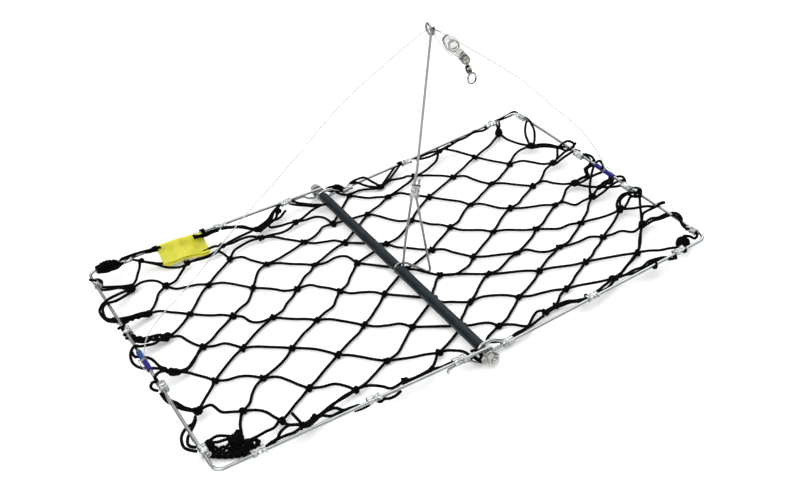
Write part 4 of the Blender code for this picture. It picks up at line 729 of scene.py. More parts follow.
def set_studio():
    """A white floor under a bright ceiling that greys towards the walls, and two large soft lamps."""
    bpy.context.scene.view_settings.view_transform = "Standard"
    reach = 6.0
    corners = [(-reach, -reach, 0), (reach, -reach, 0), (reach, reach, 0), (-reach, reach, 0)]
    mesh = bpy.data.meshes.new("floor")
    mesh.from_pydata(corners, [], [(0, 1, 2, 3)])
    mesh.materials.append(pale_floor())
    in_scene("floor", mesh)
    world = bpy.data.worlds.new("surround")
    world.use_nodes = True
    tree = world.node_tree
    way = add(tree, "ShaderNodeTexCoord").outputs["Generated"]
    height = add(tree, "ShaderNodeSeparateXYZ", {0: way}).outputs["Z"]
    background = tree.nodes["Background"].inputs
    tree.links.new(ranged(tree, height, 0.28, 0.62, 0.05, 0.95), background["Strength"])
    background["Color"].default_value = (1.0, 1.0, 1.0, 1.0)
    bpy.context.scene.world = world
    for name, place, size, power in (
        ("lamp_left", (-1.5, -0.8, 2.6), 3.0, 64.0),
        ("lamp_right", (1.7, 1.2, 2.6), 2.6, 44.0),
    ):
        lamp = bpy.data.lights.new(name, "AREA")
        lamp.size = size
        lamp.energy = power
        holder = in_scene(name, lamp)
        holder.location = place
        holder.rotation_euler = (-Vector(place)).to_track_quat("-Z", "Y").to_euler()


set_studio()


# Node trees: one sweeps twine or wire along its paths, one sets copies of a small shape at points


def tree_with_inputs(name, inputs):
    """A modifier's tree, and the sockets of what it is given."""
    tree = bpy.data.node_groups.new(name, "GeometryNodeTree")
    tree.is_modifier = True
    for label, kind in inputs.items():
        tree.interface.new_socket(label, in_out="INPUT", socket_type=f"NodeSocket{kind}")
    tree.interface.new_socket("Geometry", in_out="OUTPUT", socket_type="NodeSocketGeometry")
    return tree, add(tree, "NodeGroupInput").outputs


def handed_out(tree, shape, finish):
    """The same tree, with its end: the shape made real and given its material."""
    real = result(tree, "GeometryNodeRealizeInstances", {"Geometry": shape})
    done = result(tree, "GeometryNodeSetMaterial", {"Geometry": real, "Material": finish})
    add(tree, "NodeGroupOutput", {"Geometry": done})
    return tree


def marked(tree, shape, name, value, kind):
    """The shape with a value kept on its points, which a material reads."""
    sockets = {"Geometry": shape, "Name": name, "Value": value}
    return result(tree, "GeometryNodeStoreNamedAttribute", sockets, data_type=kind, domain="POINT")


def sweep_tree():
    """Sweeps a round section with grooves, which turns as it goes, along each path of the mesh's edges."""
    tree, given = tree_with_inputs("laid_along_paths", {
        "Paths": "Geometry", "Radius": "Float", "Strands": "Int", "Groove Depth": "Float",
        "Lay Length": "Float", "Step": "Float", "Sides": "Int", "Finish": "Material",
    })
    path = result(tree, "GeometryNodeMeshToCurve", {"Mesh": given["Paths"]})
    path = result(tree, "GeometryNodeCurveSplineType", {"Curve": path}, spline_type="CATMULL_ROM")
    path = result(tree, "GeometryNodeResampleCurve", {"Curve": path, "Length": given["Step"]}, mode="LENGTH")
    run = add(tree, "GeometryNodeSplineParameter").outputs["Length"]
    tilt = worked(tree, "MULTIPLY", worked(tree, "DIVIDE", run, given["Lay Length"]), FULL_TURN)
    path = result(tree, "GeometryNodeSetCurveTilt", {"Curve": path, "Tilt": tilt})
    path = marked(tree, path, "lay", run, "FLOAT")
    size = {"Resolution": given["Sides"], "Radius": given["Radius"]}
    circle = result(tree, "GeometryNodeCurvePrimitiveCircle", size, mode="RADIUS")
    place = result(tree, "GeometryNodeInputPosition")
    section = marked(tree, circle, "section", place, "FLOAT_VECTOR")
    round_share = add(tree, "GeometryNodeSplineParameter").outputs["Factor"]
    angle = worked(tree, "MULTIPLY", worked(tree, "MULTIPLY", round_share, given["Strands"]), FULL_TURN)
    dip = worked(tree, "SUBTRACT", worked(tree, "COSINE", angle), 1.0)
    half = worked(tree, "MULTIPLY", worked(tree, "MULTIPLY", dip, given["Groove Depth"]), 0.5)
    inward = result(tree, "ShaderNodeVectorMath", {0: place, "Scale": half}, operation="SCALE")
    section = result(tree, "GeometryNodeSetPosition", {"Geometry": section, "Offset": inward})
    sockets = {"Curve": path, "Profile Curve": section, "Fill Caps": True}
    solid = result(tree, "GeometryNodeCurveToMesh", sockets)
    smooth = result(tree, "GeometryNodeSetShadeSmooth", {"Geometry": solid})
    return handed_out(tree, smooth, given["Finish"])


def copies_tree():
    """Sets a copy of one small shape at each point, its Z and X turned to the point's own ways."""
    tree, given = tree_with_inputs(
        "copies_at_points", {"Points": "Geometry", "Copy": "Object", "Finish": "Material"}
    )
    ways = {
        number: result(tree, "GeometryNodeInputNamedAttribute", {"Name": name}, data_type="FLOAT_VECTOR")
        for number, name in enumerate(("ahead", "inward"))
    }
    turn = result(tree, "FunctionNodeAxesToRotation", ways, primary_axis="Z", secondary_axis="X")
    shape = add(tree, "GeometryNodeObjectInfo", {"Object": given["Copy"]}, transform_space="ORIGINAL")
    sockets = {"Points": given["Points"], "Instance": shape.outputs["Geometry"], "Rotation": turn}
    return handed_out(tree, result(tree, "GeometryNodeInstanceOnPoints", sockets), given["Finish"])


SWEEP = sweep_tree()
COPIES = copies_tree()


def grown(name, mesh, tree, values):
    """The plain mesh object that a node tree makes of a mesh."""
    seed = in_scene(name, mesh)
    modifier = seed.modifiers.new("grow", "NODES")
    modifier.node_group = tree
    for item in tree.interface.items_tree:
        if item.in_out == "INPUT" and item.name in values:
            modifier[item.identifier] = values[item.name]
    with_modifiers_applied(seed)
    seed.data.name = name
    bpy.data.meshes.remove(mesh)
    return seed


def with_modifiers_applied(piece):
    """The same piece, with its modifiers made into plain mesh."""
    bpy.context.view_layer.update()
    graph = bpy.context.evaluated_depsgraph_get()
    mesh = bpy.data.meshes.new_from_object(piece.evaluated_get(graph))
    piece.modifiers.clear()
    piece.data = mesh
    return piece


def swept(name, paths, radius, finish, sides=12, step=1.0 * MM, strands=0, depth=0.0, lay=1.0, closed=False):
    """Wire, cord or twine along one or more paths, as one mesh."""
    points, edges = [], []
    for path in paths:
        start = len(points)
        points += [tuple(point) for point in path]
        edges += [(at, at + 1) for at in range(start, len(points) - 1)]
        if closed:
            edges.append((len(points) - 1, start))
    mesh = bpy.data.meshes.new(f"{name}_paths")
    mesh.from_pydata(points, edges, [])
    piece = grown(name, mesh, SWEEP, {
        "Radius": radius, "Strands": strands, "Groove Depth": depth, "Lay Length": lay, "Step": step,
        "Sides": sides, "Finish": finish,
    })
    piece.data.set_sharp_from_angle(angle=math.radians(50.0))
    return piece


def twine_along(name, paths, radius=TWINE_RADIUS, step=0.9 * MM, closed=False):
    """Three-strand twine, its lay as coarse as it needs to be to show."""
    return swept(name, paths, radius, TWINE, 12, step, 3, TWINE_GROOVE, TWINE_LAY, closed)


def set_at(name, shape, places, finish):
    """Copies of a shape at places, each with the ways of its own Z and X."""
    mesh = bpy.data.meshes.new(f"{name}_points")
    mesh.from_pydata([tuple(at) for at, _, _ in places], [], [])
    for label, which in (("ahead", 1), ("inward", 2)):
        ways = mesh.attributes.new(label, "FLOAT_VECTOR", "POINT")
        ways.data.foreach_set("vector", [value for place in places for value in place[which]])
    return grown(name, mesh, COPIES, {"Copy": shape, "Finish": finish})


def mesh_piece(name, mesh, finish):
    mesh.materials.append(finish)
    return in_scene(name, mesh)


def finished(piece, body, slot, *nodes):
    """Hangs a piece on its body's empty, or bakes its placing into it where it spans two bodies; hides the CAD
    nodes that it stands for.
    """
    if isinstance(body, str):
        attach(piece, body)
    else:
        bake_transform(piece)
    if nodes:
        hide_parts(*nodes)


# Routes, as the solids have them


def scaled(points):
    """Vectors in metres, of points in millimetres."""
    return [Vector(point) * MM for point in points]


def curve_point(a, b, c, d, t):
    """The point a share t of the way from b to c, on a smooth curve that passes a before and d after them."""
    rise = (a - 2.5 * b + 2 * c - 0.5 * d) * t**2
    return b + 0.5 * (c - a) * t + rise + 0.5 * (3 * b - a - 3 * c + d) * t**3


def smooth_route(points, spacing):
    """Points at an even spacing on a smooth curve through the given points."""
    places = [Vector(point) for point in points]
    padded = [2 * places[0] - places[1], *places, 2 * places[-1] - places[-2]]
    spans = zip(padded, padded[1:], padded[2:], padded[3:])
    dense = [curve_point(*span, step / 20) for span in spans for step in range(20)] + [places[-1]]
    lengths = [0.0]
    for first, second in zip(dense, dense[1:]):
        lengths.append(lengths[-1] + (second - first).length)
    count = max(2, round(lengths[-1] / spacing) + 1)
    route = []
    index = 0
    for step in range(count):
        wanted = lengths[-1] * step / (count - 1)
        while index < len(dense) - 2 and lengths[index + 1] < wanted:
            index += 1
        span = lengths[index + 1] - lengths[index]
        route.append(dense[index].lerp(dense[index + 1], (wanted - lengths[index]) / span if span else 0.0))
    return route


def route_length(route):
    return sum((second - first).length for first, second in zip(route, route[1:]))


def wing_point(side, out, across, height):
    """Place of a point of a wing: out from the axis, across along the rod, height off the axis."""
    slope = SLOPE[side]
    x = side * (out * math.cos(slope) - height * math.sin(slope))
    return Vector((x, across, ROD_HEIGHT + out * math.sin(slope) + height * math.cos(slope)))


def wire_height(side):
    """The left wing's wire passes over the rod and the right wing's wire under it."""
    return -side * HOOK_RADIUS


def wire_point(side, out, across, rise=0.0):
    """Place of a point of a wing, with its height taken from the wing's wire."""
    return wing_point(side, out, across, wire_height(side) + rise)


# Pull lines, from the mast's ring to the end bars and to the lock


def make_line(name, node, route, blend):
    """One stretch of line between two bodies."""
    line = swept(name, [route], LINE_RADIUS, NYLON, 10, 1.5 * MM)
    finished(line, blend, "clear_line", node)


def make_lines():
    for name, side in SIDES.items():
        end = wire_point(side, WING_LENGTH, TIED_AT[side]) + Vector((0.0, 0.0, 2.8 * MM))
        route = smooth_route(scaled(LINES[side]) + [end], LINE_POINT_SPACING)
        upper, lower = route[: LINE_SPLIT + 1], route[LINE_SPLIT:]
        lower[0] = lower[0] + (lower[1] - lower[0]).normalized() * 0.3 * MM
        mast_to_centre = ("mast", "centre", upper[0], upper[-1])
        centre_to_wing = ("centre", f"{name}_wing", lower[0], lower[-1])
        make_line(f"pull_line_{name}_top", f"line_{name}_upper", upper, mast_to_centre)
        make_line(f"pull_line_{name}_long", f"line_{name}_lower", lower, centre_to_wing)
    first, second = (smooth_route(scaled(p), LOCK_LINE_SPACING) for p in (LOCK_LINE_FIRST, LOCK_LINE_SECOND))
    short = swept("line_to_lock", [first], LINE_RADIUS, NYLON, 10, 0.8 * MM)
    finished(short, ("mast", "lock", first[0], first[-1]), "clear_line", "lock_line_first")
    make_line("line_round_lock", "lock_line_second", second, ("mast", "lock", second[0], second[-1]))


make_lines()


# Wing wires


def arc(centre, radius, first, last, count):
    steps = [first + (last - first) * i / (count - 1) for i in range(count)]
    return [(centre[0] + radius * math.cos(a), centre[1] + radius * math.sin(a)) for a in steps]


def hook_points(side, way):
    """From the cut tail round the rod to where the wire leaves it, for one end of a wing wire."""
    outward = -side
    height = wire_height(side)
    points = [wing_point(side, HOOK_TAIL, way * (HALF_WIDTH[side] + outward * HOOK_SHIFT), -height)]
    for step in range(13):
        turn = math.pi * (1 - step / 12)
        across = way * (HALF_WIDTH[side] + outward * HOOK_SHIFT * turn / math.pi)
        points.append(wing_point(side, -HOOK_RADIUS * math.sin(turn), across, height * math.cos(turn)))
    return points


def make_wing_wires():
    for name, side in SIDES.items():
        width = HALF_WIDTH[side]
        bend = arc((WING_LENGTH - CORNER_RADIUS, width - CORNER_RADIUS), CORNER_RADIUS, math.pi / 2, 0.0, 8)
        straights = [(out * MM, width) for out in (30, 60, 120, 180, 225, 236)]
        bar = [(WING_LENGTH, across) for across in (width - 14 * MM, width / 2, 0.0)]
        far = straights + bend + bar
        near = [(out, -across) for out, across in reversed(far[:-1])]
        middle = [wire_point(side, out, across) for out, across in far + near]
        path = hook_points(side, 1) + middle + list(reversed(hook_points(side, -1)))
        wire = swept(f"{name}_wing_frame", [path], FRAME_WIRE_RADIUS, WIRE_STEEL, 16, 1.5 * MM)
        finished(wire, f"{name}_wing", "stainless_wire", f"{name}_wing_wire")


def make_hook_tails():
    """The wires' cut ends, laid back below them and held by the first clamp; one sticks out in a curl."""
    for name, side in SIDES.items():
        height = wire_height(side) / MM
        paths = []
        for way, clamp in ((1, CLAMPS_ON_FAR_SIDE[side][0]), (-1, CLAMPS_ON_NEAR_SIDE[side][0])):
            spots = [
                (HOOK_TAIL / MM - 1, -side * HOOK_SHIFT / MM, -height), (13, -side * 2.6, -0.55 * height),
                (19, -side * 1.6, 0.35 * height), (clamp - 4, -side * 0.6, height - 2.9),
                (clamp + 4, 0, height - 2.9),
            ]
            if side < 0 and way < 0:
                spots += [
                    (clamp + 10, 0.3, height - 3.4), (clamp + 12.5, 0.4, height - 5.2),
                    (clamp + 12, 0.4, height - 7.0),
                ]
            paths.append([
                wing_point(side, out * MM, way * (HALF_WIDTH[side] + across * MM), rise * MM)
                for out, across, rise in spots
            ])
        tails = swept(f"{name}_wire_tails", paths, TAIL_RADIUS, WIRE_STEEL, 12, 0.8 * MM)
        finished(tails, f"{name}_wing", "stainless_wire")


make_wing_wires()
make_hook_tails()


# Bodies lofted over rings of points


def along(axis, point):
    """The placing matrix that turns Z to the axis and moves to the point."""
    return Matrix.Translation(point) @ axis.to_track_quat("Z", "Y").to_matrix().to_4x4()


def placed(x_axis, z_axis, point):
    """The placing matrix that turns X and Z to the two ways and moves to the point."""
    return Matrix.Translation(point) @ Matrix((x_axis, z_axis.cross(x_axis), z_axis)).transposed().to_4x4()


def ring_at(place, radius, height, sides):
    """A ring of points round the placing matrix's Z axis; the radius may be a function of the turn."""
    ring = []
    for step in range(sides):
        turn = FULL_TURN * step / sides
        reach = radius(turn) if callable(radius) else radius
        ring.append(place @ Vector((reach * math.cos(turn), reach * math.sin(turn), height)))
    return ring


def fill_mesh(mesh, shape):
    """Turns the shape's faces outward and writes it into the mesh."""
    bmesh.ops.recalc_face_normals(shape, faces=shape.faces)
    shape.to_mesh(mesh)
    shape.free()


def lofted(name, rings, finish, around=False, angle=40.0):
    """A skin over rings of points, capped at both ends or joined end to end."""
    count = len(rings[0])
    faces = []
    for row in range(len(rings) - (0 if around else 1)):
        first, second = row * count, (row + 1) % len(rings) * count
        for at in range(count):
            following = (at + 1) % count
            faces.append((first + at, first + following, second + following, second + at))
    points = [tuple(point) for ring in rings for point in ring]
    if not around:
        faces += [tuple(range(count)), tuple(range(len(points) - count, len(points)))]
    mesh = bpy.data.meshes.new(name)
    mesh.from_pydata(points, [], faces)
    shape = bmesh.new()
    shape.from_mesh(mesh)
    fill_mesh(mesh, shape)
    mesh.shade_smooth()
    mesh.set_sharp_from_angle(angle=math.radians(angle))
    return mesh_piece(name, mesh, finish)


def turned(name, profile, place, finish, sides=48, around=False):
    """A body turned about the placing matrix's Z axis, from its outline's (radius, height) points."""
    return lofted(name, [ring_at(place, radius, height, sides) for radius, height in profile], finish, around)


def built(name, build, finish):
    """A piece whose shape a function builds."""
    mesh = bpy.data.meshes.new(name)
    shape = bmesh.new()
    build(shape)
    fill_mesh(mesh, shape)
    return mesh_piece(name, mesh, finish)


def merged(name, pieces):
    """Several mesh pieces as one, each part with its own material."""
    shape = bmesh.new()
    mesh = bpy.data.meshes.new(name)
    for piece in pieces:
        finish = piece.data.materials[0]
        if finish.name not in mesh.materials:
            mesh.materials.append(finish)
        known = len(shape.faces)
        shape.from_mesh(piece.data)
        shape.faces.ensure_lookup_table()
        for face in shape.faces[known:]:
            face.material_index = mesh.materials.find(finish.name)
        old = piece.data
        bpy.data.objects.remove(piece)
        bpy.data.meshes.remove(old)
    shape.to_mesh(mesh)
    shape.free()
    return in_scene(name, mesh)


# Hinge: rod with threaded ends, tubes, washers and nuts


def hinge_place(y):
    return along(ALONG_ROD, AXIS_POINT + Vector((0.0, y, 0.0)))


def thread_depth(height, turn):
    """How far the thread dips below the rod's surface; it runs out where the plain part starts."""
    run = abs(height) - (ROD_END - THREAD_LENGTH)
    if run <= 0:
        return 0.0
    phase = (height / THREAD_PITCH - turn / FULL_TURN) % 1.0
    return min(1.0, run / (2 * MM)) * THREAD_DEPTH * (1.0 - abs(2.0 * phase - 1.0))


def make_rod():
    place = hinge_place(0.0)
    start = ROD_END - THREAD_LENGTH
    row = 0.15 * MM
    threaded = [start + step * row for step in range(1, int(THREAD_LENGTH / row))] + [ROD_END]
    plain = [-start + 2 * start * step / 30 for step in range(31)]
    rings = []
    for height in [-value for value in reversed(threaded)] + plain + threaded:
        chamfered = 2.3 * MM + (ROD_END - abs(height)) * 1.2
        rings.append(
            ring_at(place, lambda turn: min(ROD_RADIUS - thread_depth(height, turn), chamfered), height, 48)
        )
    finished(lofted("hinge_rod", rings, HARDWARE, angle=60.0), "centre", "steel_hardware", "rod")


def make_tube(name, node, near, far):
    """Plastic tube, cut a little unevenly and never quite straight."""
    half = (far - near) / 2
    chance = random.Random(3)
    outer = [(TUBE_RADIUS - 0.5 * MM, -half), (TUBE_RADIUS - 0.1 * MM, -half + 0.15 * MM)]
    count = int(2 * half / (4 * MM))
    for step in range(count + 1):
        height = -half + 0.6 * MM + (2 * half - 1.2 * MM) * step / count
        outer.append((TUBE_RADIUS + chance.uniform(-0.05, 0.05) * MM, height))
    outer += [(TUBE_RADIUS - 0.1 * MM, half - 0.15 * MM), (TUBE_RADIUS - 0.5 * MM, half)]
    bore = [(TUBE_BORE, half), (TUBE_BORE, -half)]
    tube = turned(name, outer + bore, hinge_place((near + far) / 2), TUBE, 40, around=True)
    finished(tube, "centre", "dark_tube", node)


def make_washer(name, node, way):
    half = WASHER_THICKNESS / 2
    flat, edge = WASHER_RADIUS - 0.3 * MM, half - 0.25 * MM
    profile = [
        (TUBE_BORE, half), (TUBE_BORE, -half), (flat, -half), (WASHER_RADIUS, -edge), (WASHER_RADIUS, edge),
        (flat, half),
    ]
    washer = turned(name, profile, hinge_place(way * (WASHER_START + half)), HARDWARE, 56, around=True)
    finished(washer, "centre", "steel_hardware", node)


def make_nut(name, node, way):
    """A hexagon nut, chamfered on both faces and countersunk at its bore."""
    half = NUT_THICKNESS / 2
    flat = NUT_ACROSS_FLATS / 2
    sink = 0.3 * MM
    place = hinge_place(way * (NUT_START + half))

    def hexagon(turn):
        corner = (turn + math.pi / 6) % (math.pi / 3) - math.pi / 6
        return min(flat / math.cos(corner), chamfered)

    rings = []
    steps = [0.0, 0.12, 0.24, 0.38, 0.55, 0.7, 0.9]
    for height in [half - step * MM for step in steps] + [step * MM - half for step in reversed(steps)]:
        chamfered = flat - 0.25 * MM + (half - abs(height)) * math.tan(math.radians(60.0))
        rings.append(ring_at(place, hexagon, height, 72))
    mouth = TUBE_BORE + sink
    for radius, height in ((mouth, -half), (TUBE_BORE, sink - half), (TUBE_BORE, half - sink), (mouth, half)):
        rings.append(ring_at(place, radius, height, 72))
    finished(lofted(name, rings, HARDWARE, around=True, angle=25.0), "centre", "steel_hardware", node)


def make_hinge():
    make_rod()
    for tube in TUBES:
        make_tube(*tube)
    for name, way in (("far", 1), ("near", -1)):
        make_washer(f"plain_washer_{name}", f"washer_{name}", way)
        make_nut(f"hexagon_nut_{name}", f"nut_{name}", way)


make_hinge()


# Clamps and ferrule, pressed on with a crimping tool


def two_lobes(pitch, radius, count=7):
    """The outline round two lobes, the second at the pitch along X, drawn in between them."""
    right = arc((pitch, 0.0), radius, -math.pi / 2, math.pi / 2, count)
    left = arc((0.0, 0.0), radius, math.pi / 2, 3 * math.pi / 2, count)
    return right + [(pitch / 2, 0.8 * radius)] + left + [(pitch / 2, -0.8 * radius)]


def crimped(name, pitch, crimps, seed):
    """A pressed sleeve with two lobes, pinched at its crimps, dented all over and hollow at its ends."""
    chance = random.Random(seed)
    rows = 17
    rings = []
    for row in range(rows):
        share = row / (rows - 1)
        pinch = sum(math.exp(-(((share - at) / 0.07) ** 2)) for at in crimps)
        flare = 0.1 * max(0.0, abs(2 * share - 1) - 0.75) / 0.25
        lean = 0.35 * MM * math.sin(5.0 * share + seed)
        ring = []
        for x, y in two_lobes(pitch * (1.0 - 0.1 * pinch), CLAMP_RADIUS * (1.0 + flare - 0.26 * pinch)):
            dent = 1.0 + chance.uniform(-0.06, 0.06)
            x = pitch / 2 + (x - pitch / 2) * dent
            ring.append(Vector((x, y * dent + lean, (share - 0.5) * CLAMP_LENGTH)))
        rings.append(ring)

    def hollow(ring, share, depth):
        inner = []
        for point in ring:
            middle = Vector((min(max(point.x, 0.0), pitch), 0.0, point.z))
            inner.append(middle + (point - middle) * share + Vector((0.0, 0.0, depth)))
        return inner

    first, last = rings[0], rings[-1]
    rings = [hollow(first, 0.7, 1.2 * MM), hollow(first, 0.74, 0.0), *rings]
    rings += [hollow(last, 0.74, 0.0), hollow(last, 0.7, -1.2 * MM)]
    return lofted(name, rings, CLAMP_METAL, angle=22.0)


def clamp_places(side):
    """Centre of each clamp, with the ways along its wire and in towards the net."""
    width = HALF_WIDTH[side]
    spots = []
    for far_out, near_out in zip(CLAMPS_ON_FAR_SIDE[side], CLAMPS_ON_NEAR_SIDE[side]):
        spots += [(far_out * MM, width, False), (near_out * MM, -width, False)]
    spots += [(WING_LENGTH, across * MM, True) for across in CLAMPS_ON_END[side]]
    places = []
    for out, across, on_end in spots:
        centre = wire_point(side, out, across)
        outward = (wire_point(side, out + MM, across) - centre).normalized()
        sideways = Vector((0.0, -math.copysign(1.0, across), 0.0))
        places.append((centre, ALONG_ROD, -outward) if on_end else (centre, outward, sideways))
    return places


def make_clamps():
    count = len(CLAMP_CRIMPS)
    shapes = [crimped("clamp_shape", CLAMP_PITCH, CLAMP_CRIMPS[at], at + 1) for at in range(count)]
    for name, side in SIDES.items():
        places = clamp_places(side)
        for number, shape in enumerate(shapes):
            nodes = [f"{name}_clamp_{index + 1:02d}" for index in range(number, len(places), count)]
            group = set_at(f"{name}_clamps_{number + 1}", shape, places[number::count], CLAMP_METAL)
            finished(group, f"{name}_wing", "pressed_aluminium", *nodes)
    for shape in shapes:
        bpy.data.objects.remove(shape)


make_clamps()


# Mast: one bent wire and the ferrule that joins its two legs


def graded(points):
    """The same bends, with points added close to them on the long straights."""
    near, far = 1.2 * MM, 3.0 * MM
    route = [points[0]]
    for first, last in zip(points, points[1:]):
        gap = (last - first).length
        if gap > 8 * MM:
            route += [first.lerp(last, away / gap) for away in (near, far)] + [first.lerp(last, 0.5)]
            route += [last.lerp(first, away / gap) for away in (far, near)]
        route.append(last)
    return route


def mast_points():
    """The bends of the mast's wire from its foot's leg to its ring, and the ferrule's two ways."""
    along_ferrule = (MAST_FERRULE_TOP - MAST_FERRULE_BOTTOM).normalized()
    step = Vector((0.86, -0.51, 0.0))
    step = (step - along_ferrule * step.dot(along_ferrule)).normalized() * FERRULE_PITCH
    points = [MAST_FERRULE_TOP + step + along_ferrule * 5.5 * MM, MAST_FERRULE_BOTTOM + step]
    points += scaled(MAST_FOOT)
    for index in range(17):
        turn = math.radians(MAST_WRAP_START + MAST_WRAP_SWEEP * index / 16)
        y = MAST_WRAP_PLACE + MAST_WRAP_RUN * (0.5 - index / 16)
        x, z = MAST_WRAP_RADIUS * math.cos(turn), MAST_WRAP_RADIUS * math.sin(turn)
        points.append(Vector((x, y, ROD_HEIGHT + z)))
    points += scaled(MAST_LEG) + [MAST_FERRULE_BOTTOM, MAST_FERRULE_TOP, MAST_BEND]
    lean = MAST_TOP - MAST_FERRULE_TOP
    centre_x = MAST_TOP.x + (RING_HEIGHT - MAST_TOP.z) * lean.x / lean.z
    for index in range(25):
        turn = RING_SWEEP * index / 24
        x = centre_x + RING_PITCH * turn / FULL_TURN
        y = MAST_TOP.y + RING_RADIUS * (1.0 - math.cos(turn))
        points.append(Vector((x, y, RING_HEIGHT + RING_RADIUS * math.sin(turn))))
    return points, along_ferrule, step.normalized()


def make_mast():
    points, along_ferrule, across_ferrule = mast_points()
    wire = swept("bent_mast", [graded(points)], MAST_WIRE_RADIUS, MAST_STEEL, 16, 0.8 * MM)
    finished(wire, "mast", "stainless_wire", "mast_wire")
    ferrule = crimped("pressed_ferrule", FERRULE_PITCH, (0.3, 0.68), 4)
    middle = (MAST_FERRULE_TOP + MAST_FERRULE_BOTTOM) / 2
    ferrule.data.transform(placed(across_ferrule, along_ferrule, middle))
    finished(ferrule, "mast", "pressed_aluminium", "mast_ferrule")


make_mast()


# Blue sleeves, pinched where the pull line is tied round them


def sleeve_part(name, place, start, end, finish, chance):
    """One length of sleeve along Y, from start to end in millimetres off the place."""
    rings = []
    for step in range(25):
        height = (start + (end - start) * step / 24) * MM
        pinched = math.exp(-((height / (2.2 * MM)) ** 2))
        ring = []
        for turn_step in range(28):
            turn = FULL_TURN * turn_step / 28
            crease = 0.1 * MM * math.sin(3 * turn + 900 * height) + chance.uniform(-0.03, 0.03) * MM
            radius = SLEEVE_RADIUS - 0.55 * MM * pinched + crease
            ring.append(Vector((radius * math.cos(turn), height, radius * math.sin(turn) * 0.96)))
        rings.append(ring)
    rings += [[Vector((x * 0.78, y, z * 0.78)) for x, y, z in ring] for ring in (rings[-1], rings[0])]
    return lofted(name, [[place + spot for spot in ring] for ring in rings], finish, around=True)


def make_line_sleeve(name, far_finish):
    """The sleeve on one end bar, with the pull line wound round it and its loose end."""
    side = SIDES[name]
    place = wire_point(side, WING_LENGTH, TIED_AT[side])
    chance = random.Random(20 + side)
    sleeve = merged(f"tied_sleeve_{name}", [
        sleeve_part("far_sleeve", place, 0.5, 14.5, far_finish, chance),
        sleeve_part("near_sleeve", place, -14.5, 0.3, SLEEVING, chance),
    ])
    finished(sleeve, f"{name}_wing", "blue_sleeve", f"line_sleeve_{name}")
    radius = SLEEVE_RADIUS - 0.45 * MM + LINE_RADIUS
    wrap = []
    for step in range(49):
        turn = math.radians(90.0) + FULL_TURN * 2.5 * step / 48
        y = (-0.9 + 1.9 * step / 48) * MM
        wrap.append(place + Vector((radius * math.cos(turn), y, radius * math.sin(turn))))
    loose = ((4.2, 2.5, 1.5), (4.6, -4.0, 0.5), (3.6, -9.5, -0.3), (2.8, -14.5, 0.0))
    end = [place + spot for spot in scaled((side * x, y, z) for x, y, z in loose)]
    paths = [wrap, smooth_route([wrap[-1]] + end, 1.5 * MM)]
    tied = swept(f"tied_line_{name}", paths, LINE_RADIUS, NYLON, 8, 0.8 * MM)
    finished(tied, f"{name}_wing", "clear_line")


make_line_sleeve("left", LIGHT_SLEEVING)
make_line_sleeve("right", SLEEVING)


# Line lock: clear moulded body with a domed button, ribs over its slot, and the swivel's pin


def lock_place():
    across = LOCK_FACING.cross(LOCK_AXIS).normalized()
    axes = Matrix((across, LOCK_AXIS, across.cross(LOCK_AXIS))).transposed()
    return Matrix.Translation(LOCK_CENTRE) @ axes.to_4x4()


def rounded_outline(corners, steps):
    """A closed smooth curve through the corners."""
    count = len(corners)
    outline = []
    for index in range(count):
        span = [Vector(corners[(index + shift) % count]) for shift in (-1, 0, 1, 2)]
        outline += [curve_point(*span, step / steps) for step in range(steps)]
    return outline


def cut_or_join(body, other, operation):
    modifier = body.modifiers.new(operation.title(), "BOOLEAN")
    modifier.material_mode = "TRANSFER"
    modifier.operation = operation
    modifier.object = other
    modifier.solver = "EXACT"


def block(shape, centre, size, turn=0.0):
    """A cube in a shape, with its centre and size in millimetres and its turn about Z."""
    place = Matrix.Translation(Vector(centre) * MM) @ Matrix.Rotation(turn, 4, "Z")
    bmesh.ops.create_cube(shape, size=1.0, matrix=place @ Matrix.Diagonal((*(Vector(size) * MM), 1.0)))


def make_lock_body():
    outline = scaled(rounded_outline(LOCK_OUTLINE, 3))
    edge = ((LOCK_HALF, 0.9), (LOCK_HALF - 0.25, 0.35), (LOCK_HALF - 0.8, 0.0))
    rings = []
    for height, inset in [(-height, inset) for height, inset in edge] + list(reversed(edge)):
        ring = []
        for before, point, after in zip(outline[-1:] + outline[:-1], outline, outline[1:] + outline[:1]):
            way = (after - before).normalized()
            inward = Vector((-way.y, way.x)) * inset * MM
            ring.append(Vector((point.x + inward.x, point.y + inward.y, height * MM)))
        rings.append(ring)
    body = lofted("clear_lock", rings, CLEAR, angle=30.0)

    def dome(shape):
        size = Matrix.Diagonal((4.3, 4.3, LOCK_HALF + 1.5, 1.0))
        bmesh.ops.create_uvsphere(shape, u_segments=40, v_segments=20, radius=MM, matrix=size)

    def slot(shape):
        block(shape, (0.0, 18.5, 0.0), (24.0, 15.0, 3.4))

    def ribs(shape):
        for index in range(5):
            block(shape, (-0.3, 6.8 + 1.95 * index, -LOCK_HALF - 0.05), (6.2, 0.4, 1.1), 0.25)

    rim = ((4.3, 2.6), (5.1, 2.6), (5.1, 3.5), (4.7, 3.7), (4.3, 3.5))
    rim = [(radius * MM, height * MM) for radius, height in rim]
    # The ribs and the rim are made in the darker copy of the polycarbonate: painted shade for their dark
    # outline
    tools = [
        (built("lock_dome", dome, CLEAR), "UNION"),
        (built("lock_ribs", ribs, CLEAR_PAINTED_SHADE), "UNION"),
        (built("lock_slot", slot, CLEAR), "DIFFERENCE"),
        (turned("lock_rim", rim, Matrix.Rotation(math.pi, 4, "X"), CLEAR_PAINTED_SHADE, around=True), "UNION"),
    ]
    for other, operation in tools:
        cut_or_join(body, other, operation)
    with_modifiers_applied(body)
    for other, _ in tools:
        bpy.data.objects.remove(other)
    return body


